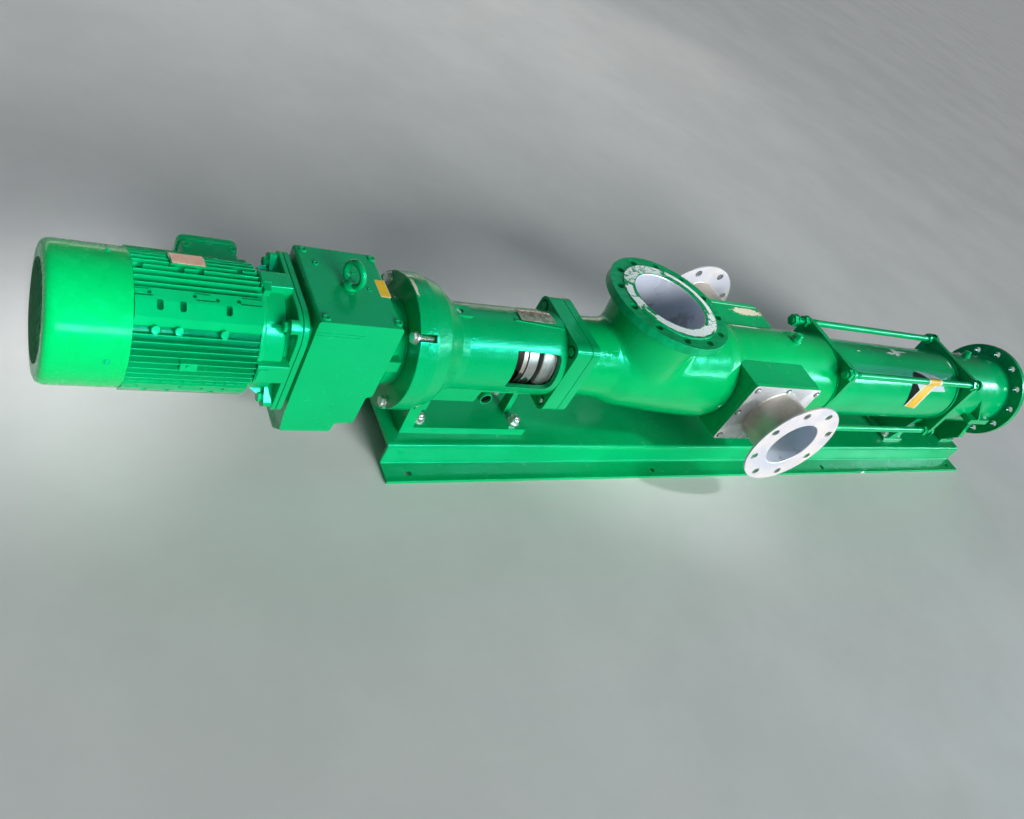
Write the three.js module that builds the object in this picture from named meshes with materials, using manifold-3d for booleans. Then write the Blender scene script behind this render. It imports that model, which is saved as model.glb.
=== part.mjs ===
// Progressive cavity pump with geared motor on a folded steel base.
// Millimetres, +Z up, +X from the motor to the discharge end.
// Every x below is measured from the centre of the inlet flange, every z from the pump axis.

import * as THREE from 'three';
import { mergeVertices } from 'three/addons/utils/BufferGeometryUtils.js';
import Module from 'manifold-3d';

const wasm = await Module();
wasm.setup();

// Where the pump axis and the inlet centre lie in the part's own frame.
const AXIS_HEIGHT = 290;
const INLET_X = -229.5;

// Small play kept where a round piece sits in or against another.
const FIT = 0.3;

// Round segments of large and small cylinders.
const ROUND = 40;
const SMALL = 12;

// Folded base under the pump.
const BASE_X0 = -640;
const BASE_X1 = 1828;
const BASE_TOP = -222;
const BASE_HALF = 110;
const BASE_FOOT_HALF = 167;
const BASE_SHEET = 8;
const BASE_HOLE_X = [-578, 202, 989, 1777];
const BASE_HOLE_Y = 143;
const BASE_HOLE_R = 9;

// Motor, its fan cowl and its terminal box.
const COWL_X0 = -1361;
const COWL_X1 = -1227;
const COWL_R = 126.5;
const GRILLE_R = 88;
const GRILLE_X0 = -1369;
const MOTOR_R = 128;
const MOTOR_X1 = -1008;
const SHIELD_R = 118;
const SHIELD_X1 = -947;
const LUG_R = 139;
const LUG_THICK = 17;
const BOX_X0 = -1112;
const BOX_X1 = -1000;
const BOX_Y1 = 176;
const LID_Y1 = 190;
const BOX_HALF_Z = 60;

// Gearbox behind its two mounting plates.
const PLATE_HALF = 116;
const PLATE_X1 = -937;
const ADAPTER_X1 = -925;
const GEAR_X0 = -921;
const GEAR_X1 = -742;
const GEAR_HALF = 113;
const GEAR_TOP = 130;
const BELL_R = 100;
const BELL_LUG_X1 = -714;
const EYE_TURN = -67;
const OUT_FLANGE_X0 = -696;
const OUT_FLANGE_X1 = -675;
const OUT_FLANGE_R = 150;
const OUT_BOLT_R = 132.5;
const OUT_SLOT = 16;

// Lantern between gearbox and pump.
const LANTERN_X1 = -280;
const WINDOW_X0 = -426;
const WINDOW_X1 = -297;
const WINDOW_Z0 = -30;
const WINDOW_Z1 = 66;
const FOOT_X0 = -604;
const FOOT_X1 = -250;
const FOOT_HALF = 71;
const FOOT_THICK = 20;
const NIPPLE_X = -418;

// Seal plate and the flange of the casing against it.
const SEAL_X1 = -234;
const DRIVE_FLANGE_X1 = -210;
const SEAL_HALF = 104;
const SEAL_ROUND = 26;

// Shaft line.
const SHAFT_R = 30;
const SHAFT_SEAT_R = 45;
const RING_R = 78;
const ROD_R = 22;

// Suction casing and its inlet, DN 200.
const CASING_X1 = 730;
const TUBE_R = 126.5;
const TUBE_BORE = 114;
const INLET_FACE = 205;
const FLANGE_R = 170;
const FLANGE_BORE = 100;
const FLANGE_THICK = 26;
const FLANGE_PCD_R = 147.5;
const FLANGE_HOLES = 12;
const HOLE_R = 11;
const FACE_R = 134;

// Side ports, DN 150.
const PORT_X = 422;
const PORT_FACE = 290;
const PORT_FLANGE_R = 142.5;
const PORT_FLANGE_THICK = 6;
const PORT_PCD_R = 120;
const PORT_HOLES = 8;
const PORT_BORE = 77;
const PORT_NECK_R = 84;
const PORT_PLATE_X0 = 278;
const PORT_PLATE_X1 = 550;
const PORT_PLATE_HALF_Z = 103;
const PORT_PLATE_FACE = 178;
const PORT_PLATE_THICK = 14;

// Stator between two square plates held by four tie rods.
const END_PLATE_X0 = 730;
const END_PLATE_X1 = 752;
const STATOR_X1 = 1430;
const STATOR_PLATE_X1 = 1452;
const END_HALF = 130;
const STATOR_R = 120;
const STATOR_WALL = 12;
const ROD_AT = 115;
const TIE_R = 11;
const NUT_R = 18;
const NUT_THICK = 18;

// Rotor and the rubber lining that it turns in.
const ROTOR_R = 36;
const ECCENTRIC = 14;
const ROTOR_PITCH = 280;
const LINING_CLEAR = 2;

// Outlet body, discharge flange and its foot.
const OUTLET_R = 124;
const DISCHARGE_X0 = 1769;
const DISCHARGE_X1 = 1795;

const GREEN = 0x009a58;
const STEEL = 0xb9bcb8;
const BRIGHT = 0xc9ccd0;
const RUBBER = 0x1d1d1d;

const pump = new THREE.Group();
pump.position.set(INLET_X, 0, AXIS_HEIGHT);

// Turns a closed geometry into a solid that can be joined and cut.
function solid(geometry) {
  const bare = geometry.clone();
  bare.deleteAttribute('normal');
  bare.deleteAttribute('uv');
  const merged = mergeVertices(bare, 1e-4);
  const index = merged.index.array;
  const position = merged.attributes.position;
  const triangles = [];
  let volume = 0;
  const a = new THREE.Vector3();
  const b = new THREE.Vector3();
  const c = new THREE.Vector3();
  for (let i = 0; i < index.length; i += 3) {
    const [p, q, r] = [index[i], index[i + 1], index[i + 2]];
    if (p === q || q === r || p === r) continue;
    triangles.push(p, q, r);
    a.fromBufferAttribute(position, p);
    b.fromBufferAttribute(position, q);
    c.fromBufferAttribute(position, r);
    volume += a.dot(b.cross(c));
  }
  if (volume < 0) triangles.reverse();
  const mesh = new wasm.Mesh({
    numProp: 3,
    vertProperties: new Float32Array(position.array),
    triVerts: new Uint32Array(triangles),
  });
  return new wasm.Manifold(mesh);
}

// Turns a solid back into a geometry for a mesh.
function geometryOf(body) {
  const mesh = body.getMesh();
  const geometry = new THREE.BufferGeometry();
  geometry.setAttribute('position', new THREE.BufferAttribute(new Float32Array(mesh.vertProperties), 3));
  geometry.setIndex(new THREE.BufferAttribute(new Uint32Array(mesh.triVerts), 1));
  geometry.computeVertexNormals();
  return geometry;
}

// Adds one named piece to the pump.
function part(name, body, color, roughness, metalness) {
  const material = new THREE.MeshStandardMaterial({ color, roughness, metalness });
  const mesh = new THREE.Mesh(geometryOf(body), material);
  mesh.name = name;
  pump.add(mesh);
}

const painted = (name, body) => part(name, body, GREEN, 0.3, 0);
const bareSteel = (name, body) => part(name, body, STEEL, 0.4, 1);

function joined(bodies) {
  return bodies.reduce((sum, body) => sum.add(body));
}

function cut(body, tools) {
  return tools.reduce((rest, tool) => rest.subtract(tool), body);
}

// A round body along X from pairs of x and radius, the profile closed on itself.
function turned(profile, segments = ROUND) {
  const points = profile.map(([x, r]) => new THREE.Vector2(r, x));
  points.push(points[0].clone());
  return solid(new THREE.LatheGeometry(points, segments).rotateZ(-Math.PI / 2));
}

// A round body along Z from pairs of z and radius.
function turnedZ(profile, segments = ROUND) {
  const points = profile.map(([z, r]) => new THREE.Vector2(r, z));
  points.push(points[0].clone());
  return solid(new THREE.LatheGeometry(points, segments).rotateX(Math.PI / 2));
}

// A plain cylinder between two points on an axis through y and z.
function rodX(x0, x1, r, y = 0, z = 0, segments = ROUND) {
  const geometry = new THREE.CylinderGeometry(r, r, x1 - x0, segments);
  return solid(geometry.rotateZ(-Math.PI / 2).translate((x0 + x1) / 2, y, z));
}

function rodY(y0, y1, r, x = 0, z = 0, segments = ROUND) {
  const geometry = new THREE.CylinderGeometry(r, r, y1 - y0, segments);
  return solid(geometry.translate(x, (y0 + y1) / 2, z));
}

function rodZ(z0, z1, r, x = 0, y = 0, segments = ROUND) {
  const geometry = new THREE.CylinderGeometry(r, r, z1 - z0, segments);
  return solid(geometry.rotateX(Math.PI / 2).translate(x, y, (z0 + z1) / 2));
}

function box(x0, x1, y0, y1, z0, z1) {
  const geometry = new THREE.BoxGeometry(x1 - x0, y1 - y0, z1 - z0);
  return solid(geometry.translate((x0 + x1) / 2, (y0 + y1) / 2, (z0 + z1) / 2));
}

function outline(points) {
  return new THREE.Shape(points.map(([u, v]) => new THREE.Vector2(u, v)));
}

// A rectangle with round corners, b for two of them where they differ.
function roundedOutline(u0, u1, v0, v1, a, b = a) {
  const shape = new THREE.Shape();
  shape.moveTo(u0 + a, v0);
  shape.lineTo(u1 - b, v0);
  shape.absarc(u1 - b, v0 + b, b, -Math.PI / 2, 0, false);
  shape.lineTo(u1, v1 - a);
  shape.absarc(u1 - a, v1 - a, a, 0, Math.PI / 2, false);
  shape.lineTo(u0 + b, v1);
  shape.absarc(u0 + b, v1 - b, b, Math.PI / 2, Math.PI, false);
  shape.lineTo(u0, v0 + a);
  shape.absarc(u0 + a, v0 + a, a, Math.PI, 1.5 * Math.PI, false);
  return shape;
}

// An outline drawn in Y and Z, stretched along X.
function prismX(shape, x0, x1) {
  const geometry = new THREE.ExtrudeGeometry(shape, { depth: x1 - x0, bevelEnabled: false, curveSegments: 5 });
  const turn = new THREE.Matrix4().makeBasis(
    new THREE.Vector3(0, 1, 0), new THREE.Vector3(0, 0, 1), new THREE.Vector3(1, 0, 0));
  return solid(geometry.applyMatrix4(turn).translate(x0, 0, 0));
}

// An outline drawn in X and Z, stretched along Y.
function prismY(shape, y0, y1) {
  const geometry = new THREE.ExtrudeGeometry(shape, { depth: y1 - y0, bevelEnabled: false, curveSegments: 6 });
  return solid(geometry.rotateX(Math.PI / 2).translate(0, y1, 0));
}

// Points on a circle, the first one half a step off the upright.
function circleOf(count, radius) {
  const points = [];
  for (let i = 0; i < count; i += 1) {
    const angle = ((i + 0.5) * 2 * Math.PI) / count;
    points.push([radius * Math.sin(angle), radius * Math.cos(angle)]);
  }
  return points;
}

function baseRail() {
  const floor = -AXIS_HEIGHT;
  const inner = BASE_HALF - BASE_SHEET;
  const half = [
    [0, BASE_TOP], [BASE_HALF - 6, BASE_TOP], [BASE_HALF - 2, BASE_TOP - 2], [BASE_HALF, BASE_TOP - 6],
    [BASE_HALF, floor + BASE_SHEET], [BASE_FOOT_HALF, floor + BASE_SHEET], [BASE_FOOT_HALF, floor],
    [inner, floor], [inner, BASE_TOP - BASE_SHEET],
  ];
  const mirrored = half.slice(1).reverse().map(([y, z]) => [-y, z]);
  const rail = prismX(outline([...half, ...mirrored]), BASE_X0, BASE_X1);
  const holes = [];
  for (const x of BASE_HOLE_X) {
    for (const y of [-BASE_HOLE_Y, BASE_HOLE_Y]) {
      holes.push(rodZ(floor - 5, floor + 15, BASE_HOLE_R, x, y, SMALL));
    }
  }
  painted('base_rail', cut(rail, holes));
}

function motor() {
  const cowl = turned([
    [COWL_X1, 0], [COWL_X1, COWL_R], [-1340, COWL_R], [-1349, 123], [-1355, 117], [-1359, 108],
    [COWL_X0, 98], [COWL_X0, GRILLE_R + FIT], [-1356, GRILLE_R + FIT], [-1356, 0],
  ]);
  painted('motor_fan_cowl', cowl);
  const grille = turned([[-1356, 0], [-1356, GRILLE_R], [-1363, GRILLE_R - 3], [-1367, 60], [GRILLE_X0, 0]]);
  painted('motor_fan_grille', grille);
  painted('motor_frame', rodX(COWL_X1, MOTOR_X1, MOTOR_R));

  const pads = [0, 1, 2, 3].map((turn) => {
    const pad = new THREE.BoxGeometry(SHIELD_X1 - MOTOR_X1, 34, 50);
    pad.translate((SHIELD_X1 + MOTOR_X1) / 2, SHIELD_R - 7, 0).rotateX((turn * Math.PI) / 2);
    return solid(pad);
  });
  const arms = [0, 1, 2, 3].map((turn) => {
    const arm = new THREE.BoxGeometry(LUG_THICK, LUG_R - 90, 30);
    arm.translate(SHIELD_X1 - LUG_THICK / 2, (LUG_R + 90) / 2, 0).rotateX(((turn + 0.5) * Math.PI) / 2);
    return solid(arm);
  });
  const lugs = circleOf(4, LUG_R).map(([y, z]) => rodX(SHIELD_X1 - LUG_THICK, SHIELD_X1, 15, y, z, SMALL));
  const drum = joined([rodX(MOTOR_X1, -959, SHIELD_R), rodX(-960, SHIELD_X1, 102)]);
  painted('motor_drive_end_shield', joined([drum, ...pads, ...arms, ...lugs]));

  const under = [rodX(COWL_X1, SHIELD_X1, MOTOR_R + FIT), box(MOTOR_X1, SHIELD_X1, 90, MOTOR_R + FIT, -80, 80)];
  const terminal = roundedOutline(BOX_X0, BOX_X1, -BOX_HALF_Z, BOX_HALF_Z, 12);
  painted('motor_terminal_box', cut(prismY(terminal, 100, BOX_Y1), under));
  const lid = roundedOutline(BOX_X0 - 3, BOX_X1 + 3, -BOX_HALF_Z - 3, BOX_HALF_Z + 3, 14);
  painted('motor_terminal_lid', prismY(lid, BOX_Y1, LID_Y1));
}

function gearbox() {
  const plate = roundedOutline(-PLATE_HALF, PLATE_HALF, -PLATE_HALF, PLATE_HALF, 18, 60);
  painted('motor_mounting_plate', prismX(plate, SHIELD_X1, PLATE_X1));
  painted('gearbox_adapter_plate', prismX(plate, PLATE_X1, ADAPTER_X1));
  const side = outline([
    [GEAR_X0, GEAR_TOP], [GEAR_X1, GEAR_TOP], [GEAR_X1, -63], [-755, -63], [-755, -145], [-797, -147],
    [-800, -172], [-910, -172], [-914, -125],
  ]);
  const belly = outline([[-GEAR_HALF, -171], [-GEAR_HALF, -172], [-80, -200], [80, -200],
    [GEAR_HALF, -172], [GEAR_HALF, -171]]);
  const neck = outline([[-100, -100], [100, -100], [100, 100], [-100, 100]]);
  painted('gearbox_housing', joined([
    prismY(side, -GEAR_HALF, GEAR_HALF),
    prismX(belly, -910, -801),
    prismX(neck, ADAPTER_X1, -900),
  ]));
  const bell = turned([[GEAR_X1, 0], [GEAR_X1, 108], [OUT_FLANGE_X0, BELL_R], [OUT_FLANGE_X0, 0]]);
  painted('gearbox_output_bell', joined([
    bell,
    box(GEAR_X1, BELL_LUG_X1, -GEAR_HALF, -80, 12, 40),
    box(GEAR_X1, BELL_LUG_X1, 80, GEAR_HALF, 12, 40),
  ]));
  const disc = rodX(OUT_FLANGE_X0, OUT_FLANGE_X1, OUT_FLANGE_R);
  const tools = [rodX(OUT_FLANGE_X0 - 5, OUT_FLANGE_X1 + 5, SHAFT_SEAT_R + FIT, 0, 0, 36)];
  for (const [y, z] of circleOf(4, OUT_BOLT_R)) {
    const angle = Math.atan2(z, y);
    const slot = new THREE.BoxGeometry(60, 40, OUT_SLOT);
    slot.translate(0, OUT_BOLT_R + 12, 0).rotateX(angle).translate(OUT_FLANGE_X0 + 10, 0, 0);
    tools.push(solid(slot));
  }
  painted('gearbox_output_flange', cut(disc, tools));
  const ring = new THREE.TorusGeometry(24, 7, 8, 24).rotateX(Math.PI / 2);
  ring.rotateZ((EYE_TURN * Math.PI) / 180).translate(-828, 0, GEAR_TOP + 31);
  const eye = joined([
    solid(ring),
    rodZ(GEAR_TOP, GEAR_TOP + 8, 17, -828, 0, 24),
    rodZ(GEAR_TOP, GEAR_TOP + 12, 10, -828, 0, 24),
  ]);
  painted('gearbox_eye_bolt', eye);
}

// The outside of the lantern, with some play added.
function lanternOutside(play) {
  return [
    [OUT_FLANGE_X1, 150 + play], [-652, 150 + play], [-615, 140 + play], [-585, 118 + play],
    [-555, 100 + play], [-417, 100 + play], [LANTERN_X1, 103.5 + play],
  ];
}

function lantern() {
  const inside = [[LANTERN_X1, 90], [-560, 86], [-600, 105], [-640, 115], [OUT_FLANGE_X1, 115]];
  const shell = turned([...lanternOutside(0), ...inside]);
  const opening = roundedOutline(WINDOW_X0, WINDOW_X1, WINDOW_Z0, WINDOW_Z1, 20);
  const windows = [prismY(opening, -140, -40), prismY(opening, 40, 140)];
  painted('lantern_housing', cut(shell, windows));

  const envelope = turned([...lanternOutside(FIT), [LANTERN_X1, 0], [OUT_FLANGE_X1, 0]]);
  const top = BASE_TOP + FOOT_THICK;
  const endPlate = outline([[-FOOT_HALF, BASE_TOP], [FOOT_HALF, BASE_TOP], [64, -95], [-64, -95]]);
  const skirt = outline([[-600, -56], [-300, -56], [-300, -72], [-460, -72], [-464, -96], [-600, -96]]);
  const foot = joined([
    box(FOOT_X0, FOOT_X1, -FOOT_HALF, FOOT_HALF, BASE_TOP, top),
    prismX(endPlate, FOOT_X0, FOOT_X0 + 30),
    box(-297, -282, -8, 8, top - 1, -90),
    prismY(skirt, -82, -70),
    prismY(skirt, 70, 82),
    box(FOOT_X0, FOOT_X0 + 30, -82, 82, -130, -96),
  ]);
  painted('lantern_foot', cut(foot, [envelope]));

  const nipple = cut(rodY(-66, -28, 15, NIPPLE_X, -104, 24), [
    rodY(-70, -46, 9, NIPPLE_X, -104, SMALL), envelope,
  ]);
  painted('lantern_drain_nipple', nipple);
}

function sealPlates() {
  const plate = roundedOutline(-SEAL_HALF, SEAL_HALF, -SEAL_HALF, SEAL_HALF, SEAL_ROUND);
  const bore = rodX(LANTERN_X1 - 20, DRIVE_FLANGE_X1 + 20, SHAFT_R + FIT, 0, 0, 36);
  painted('seal_plate', cut(prismX(plate, LANTERN_X1, SEAL_X1), [bore]));
  painted('casing_drive_flange', cut(prismX(plate, SEAL_X1, DRIVE_FLANGE_X1), [bore]));
  bareSteel('seal_housing', turned([[-334, 36], [-334, RING_R], [LANTERN_X1, RING_R], [LANTERN_X1, 36]]));
}

function shaftLine() {
  bareSteel('drive_shaft', turned([
    [-694, 0], [-694, SHAFT_SEAT_R], [-600, SHAFT_SEAT_R], [-600, 38], [-400, 38], [-400, SHAFT_R],
    [-205 - FIT, SHAFT_R], [-205 - FIT, 0],
  ], 36));
  const ring = (x0, x1, r) => turned([[x0, SHAFT_R + FIT], [x0, r], [x1, r], [x1, SHAFT_R + FIT]], 36);
  bareSteel('shaft_clamp_ring', ring(-389, -377, RING_R));
  bareSteel('shaft_slinger', ring(-372, -346, RING_R));
  const rod = [
    [-205, 0], [-205, 40], [-120, 40], [-110, ROD_R], [630, ROD_R], [640, 40],
    [735, 40], [735, 0],
  ];
  bareSteel('coupling_rod', turned(rod, 20));
}

function casing() {
  const outside = turned([
    [DRIVE_FLANGE_X1, 0], [DRIVE_FLANGE_X1, 97], [-110, 103], [-60, 117], [86, 132], [245, 142],
    [280, 137], [302, TUBE_R], [CASING_X1, TUBE_R], [CASING_X1, 0],
  ]);
  const nozzle = turnedZ([
    [0, 0], [0, 120], [60, 124], [130, 130], [INLET_FACE - FLANGE_THICK, 136],
    [INLET_FACE - FLANGE_THICK, 0],
  ]);
  const cavity = turned([
    [DRIVE_FLANGE_X1 - 1, 0], [DRIVE_FLANGE_X1 - 1, 84], [-104, 90], [-21, 108], [250, 128],
    [302, TUBE_BORE], [CASING_X1 + 1, TUBE_BORE], [CASING_X1 + 1, 0],
  ]);
  const bore = rodZ(0, INLET_FACE, FLANGE_BORE);
  const ports = rodY(-200, 200, PORT_BORE, PORT_X, 0, 36);
  painted('suction_casing', cut(outside.add(nozzle), [cavity, bore, ports]));
  painted('casing_vent_plug', joined([
    rodZ(TUBE_R - 1, TUBE_R + 9, 17, 565, 0, 24),
    rodZ(TUBE_R + 9, TUBE_R + 24, 12, 565, 0, 6),
  ]).subtract(rodX(400, 700, TUBE_R + FIT)));
}

// A pipe flange drawn along Z with its face at z; its face is flat unless raised gives a radius.
function pipeFlange(face, radius, thick, bore, pcd, holes, raised = 0) {
  const front = raised ? [[face - 3, radius], [face - 3, raised], [face, raised]] : [[face, radius]];
  const ring = turnedZ([[face - thick, bore], [face - thick, radius], ...front, [face, bore]]);
  const drills = circleOf(holes, pcd).map(([x, y]) => rodZ(face - thick - 5, face + 5, HOLE_R, x, y, SMALL));
  return cut(ring, drills);
}

function inlet() {
  const flange = pipeFlange(INLET_FACE, FLANGE_R, FLANGE_THICK, FLANGE_BORE, FLANGE_PCD_R, FLANGE_HOLES, FACE_R);
  painted('inlet_flange', flange);
}

function sidePort(side, name) {
  const at = (near, far) => (side < 0 ? [-far, -near] : [near, far]);
  const bore = rodY(-400, 400, PORT_BORE, PORT_X, 0, 36);
  const plateBack = PORT_PLATE_FACE - PORT_PLATE_THICK;
  const block = box(PORT_PLATE_X0, PORT_PLATE_X1, ...at(70, plateBack), -PORT_PLATE_HALF_Z, PORT_PLATE_HALF_Z);
  const tube = turned([
    [100, 0], [100, 145], [245, 142 + FIT], [280, 137 + FIT],
    [302, TUBE_R + FIT], [CASING_X1, TUBE_R + FIT], [CASING_X1, 0],
  ]);
  painted(`side_boss_${name}`, cut(block, [tube, bore]));
  const outlineOfPlate = roundedOutline(
    PORT_PLATE_X0, PORT_PLATE_X1, -PORT_PLATE_HALF_Z, PORT_PLATE_HALF_Z, 8);
  bareSteel(`side_plate_${name}`, cut(prismY(outlineOfPlate, ...at(plateBack, PORT_PLATE_FACE)), [bore]));
  const flangeBack = PORT_FACE - PORT_FLANGE_THICK;
  const neck = rodY(...at(PORT_PLATE_FACE, flangeBack), PORT_NECK_R, PORT_X, 0);
  bareSteel(`side_neck_${name}`, cut(neck, [bore]));
  const ring = pipeFlange(PORT_FACE, PORT_FLANGE_R, PORT_FLANGE_THICK, PORT_BORE, PORT_PCD_R, PORT_HOLES);
  const turn = side < 0 ? [90, 0, 0] : [-90, 0, 0];
  bareSteel(`side_flange_${name}`, ring.rotate(turn).translate([PORT_X, 0, 0]));
}

function stator() {
  const plate = roundedOutline(-END_HALF, END_HALF, -END_HALF, END_HALF, 22);
  const corners = [[-1, 1, 'front_top'], [1, 1, 'back_top'], [-1, -1, 'front_bottom'], [1, -1, 'back_bottom']];
  const holes = corners.map(([v, w]) => rodX(600, 1600, TIE_R + FIT, v * ROD_AT, w * ROD_AT, 16));
  const casingBore = rodX(600, 900, TUBE_BORE);
  painted('casing_end_plate', cut(prismX(plate, END_PLATE_X0, END_PLATE_X1), [casingBore, ...holes]));
  const outletBore = rodX(1300, 1600, FLANGE_BORE);
  painted('stator_end_plate', cut(prismX(plate, STATOR_X1, STATOR_PLATE_X1), [outletBore, ...holes]));
  for (const [v, w, name] of corners) {
    const y = v * ROD_AT;
    const z = w * ROD_AT;
    const end = name === 'back_top' ? END_PLATE_X0 - 78 : END_PLATE_X0 - 30;
    const nuts = [END_PLATE_X0 - NUT_THICK, STATOR_X1 - NUT_THICK, STATOR_PLATE_X1];
    if (name === 'back_top') nuts.push(end + 8);
    painted(`tie_rod_${name}`, joined([
      rodX(end, STATOR_PLATE_X1 + 30, TIE_R, y, z, 16),
      ...nuts.map((x) => rodX(x, x + NUT_THICK, NUT_R, y, z, 6)),
    ]));
  }
  const wall = STATOR_R - STATOR_WALL;
  painted('stator_tube', turned([
    [END_PLATE_X1, wall], [END_PLATE_X1, STATOR_R], [STATOR_X1, STATOR_R], [STATOR_X1, wall],
  ]));
  const web = outline([[-66, BASE_TOP], [66, BASE_TOP], [92, -60], [-92, -60]]);
  const inner = outline([[-54, BASE_TOP - 1], [54, BASE_TOP - 1], [80, -50], [-80, -50]]);
  const saddle = cut(joined([
    prismX(web, 1386, 1428).subtract(prismX(inner, 1398, 1440)),
    box(1352, 1466, -72, 72, BASE_TOP, BASE_TOP + 10),
  ]), [rodX(1300, 1500, STATOR_R + FIT)]);
  painted('stator_saddle', saddle);
}

// Winds a straight body about X, one full turn per pitch.
function wound(geometry, pitch) {
  const position = geometry.attributes.position;
  for (let i = 0; i < position.count; i += 1) {
    const x = position.getX(i);
    const y = position.getY(i);
    const z = position.getZ(i);
    const angle = (2 * Math.PI * (x - STATOR_X1)) / pitch;
    position.setY(i, y * Math.cos(angle) - z * Math.sin(angle));
    position.setZ(i, y * Math.sin(angle) + z * Math.cos(angle));
  }
  return geometry;
}

// An outline in Y and Z stretched along X in steps.
function stepped(shape, x0, x1, steps, curveSegments) {
  const geometry = new THREE.ExtrudeGeometry(shape, { depth: x1 - x0, steps, bevelEnabled: false, curveSegments });
  const turn = new THREE.Matrix4().makeBasis(
    new THREE.Vector3(0, 1, 0), new THREE.Vector3(0, 0, 1), new THREE.Vector3(1, 0, 0));
  return geometry.applyMatrix4(turn).translate(x0, 0, 0);
}

function rotorAndLining() {
  const grip = ROTOR_R + LINING_CLEAR;
  const slot = new THREE.Shape();
  slot.absarc(0, 2 * ECCENTRIC, grip, 0, Math.PI, false);
  slot.absarc(0, -2 * ECCENTRIC, grip, Math.PI, 2 * Math.PI, false);
  const hole = wound(stepped(slot, END_PLATE_X1 - 10, STATOR_X1 + 10, 16, 5), 2 * ROTOR_PITCH);
  const rubber = rodX(END_PLATE_X1 + 2, STATOR_X1 - 2, STATOR_R - STATOR_WALL - FIT);
  part('stator_lining', cut(rubber, [solid(hole)]), RUBBER, 0.8, 0);

  const section = new THREE.Shape();
  section.absarc(0, ECCENTRIC, ROTOR_R, 0, 2 * Math.PI, false);
  const screw = wound(stepped(section, END_PLATE_X1 - 8, STATOR_X1 + 6, 28, 7), ROTOR_PITCH);
  screw.translate(0, 0, ECCENTRIC);
  part('rotor', solid(screw), BRIGHT, 0.2, 1);
}

function outlet() {
  const bore = rodX(1400, 1800, FLANGE_BORE);
  const ear = box(1546, 1672, -160, 160, -28, -8);
  const gusset = outline([[-158, -10], [-158, -6], [-108, 56], [108, 56], [158, -6], [158, -10]]);
  painted('outlet_body', cut(joined([
    rodX(STATOR_PLATE_X1, DISCHARGE_X0, OUTLET_R),
    ear,
    prismX(gusset, 1592, 1602),
  ]), [bore]));
  const flange = pipeFlange(0, FLANGE_R, FLANGE_THICK, FLANGE_BORE, FLANGE_PCD_R, FLANGE_HOLES, FACE_R);
  painted('discharge_flange', flange.rotate([0, 90, 0]).translate([DISCHARGE_X1, 0, 0]));

  const web = outline([
    [-62, BASE_TOP], [62, BASE_TOP], [106, -160], [92, -85], [-92, -85], [-106, -160],
  ]);
  const rim = outline([[92, -85], [106, -160], [98, -160], [84, -85]]);
  const rims = prismX(rim, 1738, 1766);
  const foot = joined([
    box(1738, 1826, -70, 70, BASE_TOP, BASE_TOP + 10),
    prismX(web, 1738, 1750),
    rims,
    rims.mirror([0, 1, 0]),
  ]);
  painted('outlet_foot', cut(foot, [rodX(1500, 1800, OUTLET_R + FIT)]));
  const boss = new THREE.CylinderGeometry(15, 15, 22, 24).rotateX(Math.PI / 2).translate(1575, 0, OUTLET_R + 10);
  boss.rotateX(-0.3);
  painted('outlet_gauge_plug', cut(solid(boss), [rodX(1500, 1700, OUTLET_R + FIT)]));
}

baseRail();
motor();
gearbox();
lantern();
sealPlates();
shaftLine();
casing();
inlet();
sidePort(-1, 'front');
sidePort(1, 'back');
stator();
rotorAndLining();
outlet();

const row = new THREE.Group();
row.add(pump);

export default row;
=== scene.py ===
"""The looks of a progressive cavity pump with geared motor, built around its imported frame.

Lengths are millimetres from the centre of the inlet flange (x) and from the pump axis (y and z), with +X
from the motor to the discharge end. place() turns them into metres of the frame.
Angles about the pump axis are degrees: 0 faces the viewer's side (-Y), 90 is the top, 180 the rear.
"""

import math

import bmesh
import bpy
from mathutils import Matrix, Vector, noise


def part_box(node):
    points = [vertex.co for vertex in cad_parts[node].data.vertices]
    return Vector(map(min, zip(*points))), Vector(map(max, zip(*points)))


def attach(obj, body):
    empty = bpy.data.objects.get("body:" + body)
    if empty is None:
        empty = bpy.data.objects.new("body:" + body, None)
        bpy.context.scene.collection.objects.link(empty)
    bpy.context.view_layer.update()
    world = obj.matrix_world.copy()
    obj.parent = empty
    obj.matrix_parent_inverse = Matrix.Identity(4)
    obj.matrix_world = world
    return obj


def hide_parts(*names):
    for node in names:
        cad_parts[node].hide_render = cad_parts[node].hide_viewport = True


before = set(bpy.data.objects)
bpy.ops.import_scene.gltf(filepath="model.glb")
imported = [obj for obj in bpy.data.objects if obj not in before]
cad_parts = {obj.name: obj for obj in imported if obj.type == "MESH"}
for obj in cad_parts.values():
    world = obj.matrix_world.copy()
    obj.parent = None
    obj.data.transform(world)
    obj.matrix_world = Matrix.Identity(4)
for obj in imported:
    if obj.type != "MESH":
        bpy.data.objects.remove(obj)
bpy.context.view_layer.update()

MM = 0.001
inlet_low, inlet_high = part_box("inlet_flange")
flange_low, flange_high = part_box("discharge_flange")
ORIGIN = Vector(((inlet_low.x + inlet_high.x) / 2, 0, (flange_low.z + flange_high.z) / 2))

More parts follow.
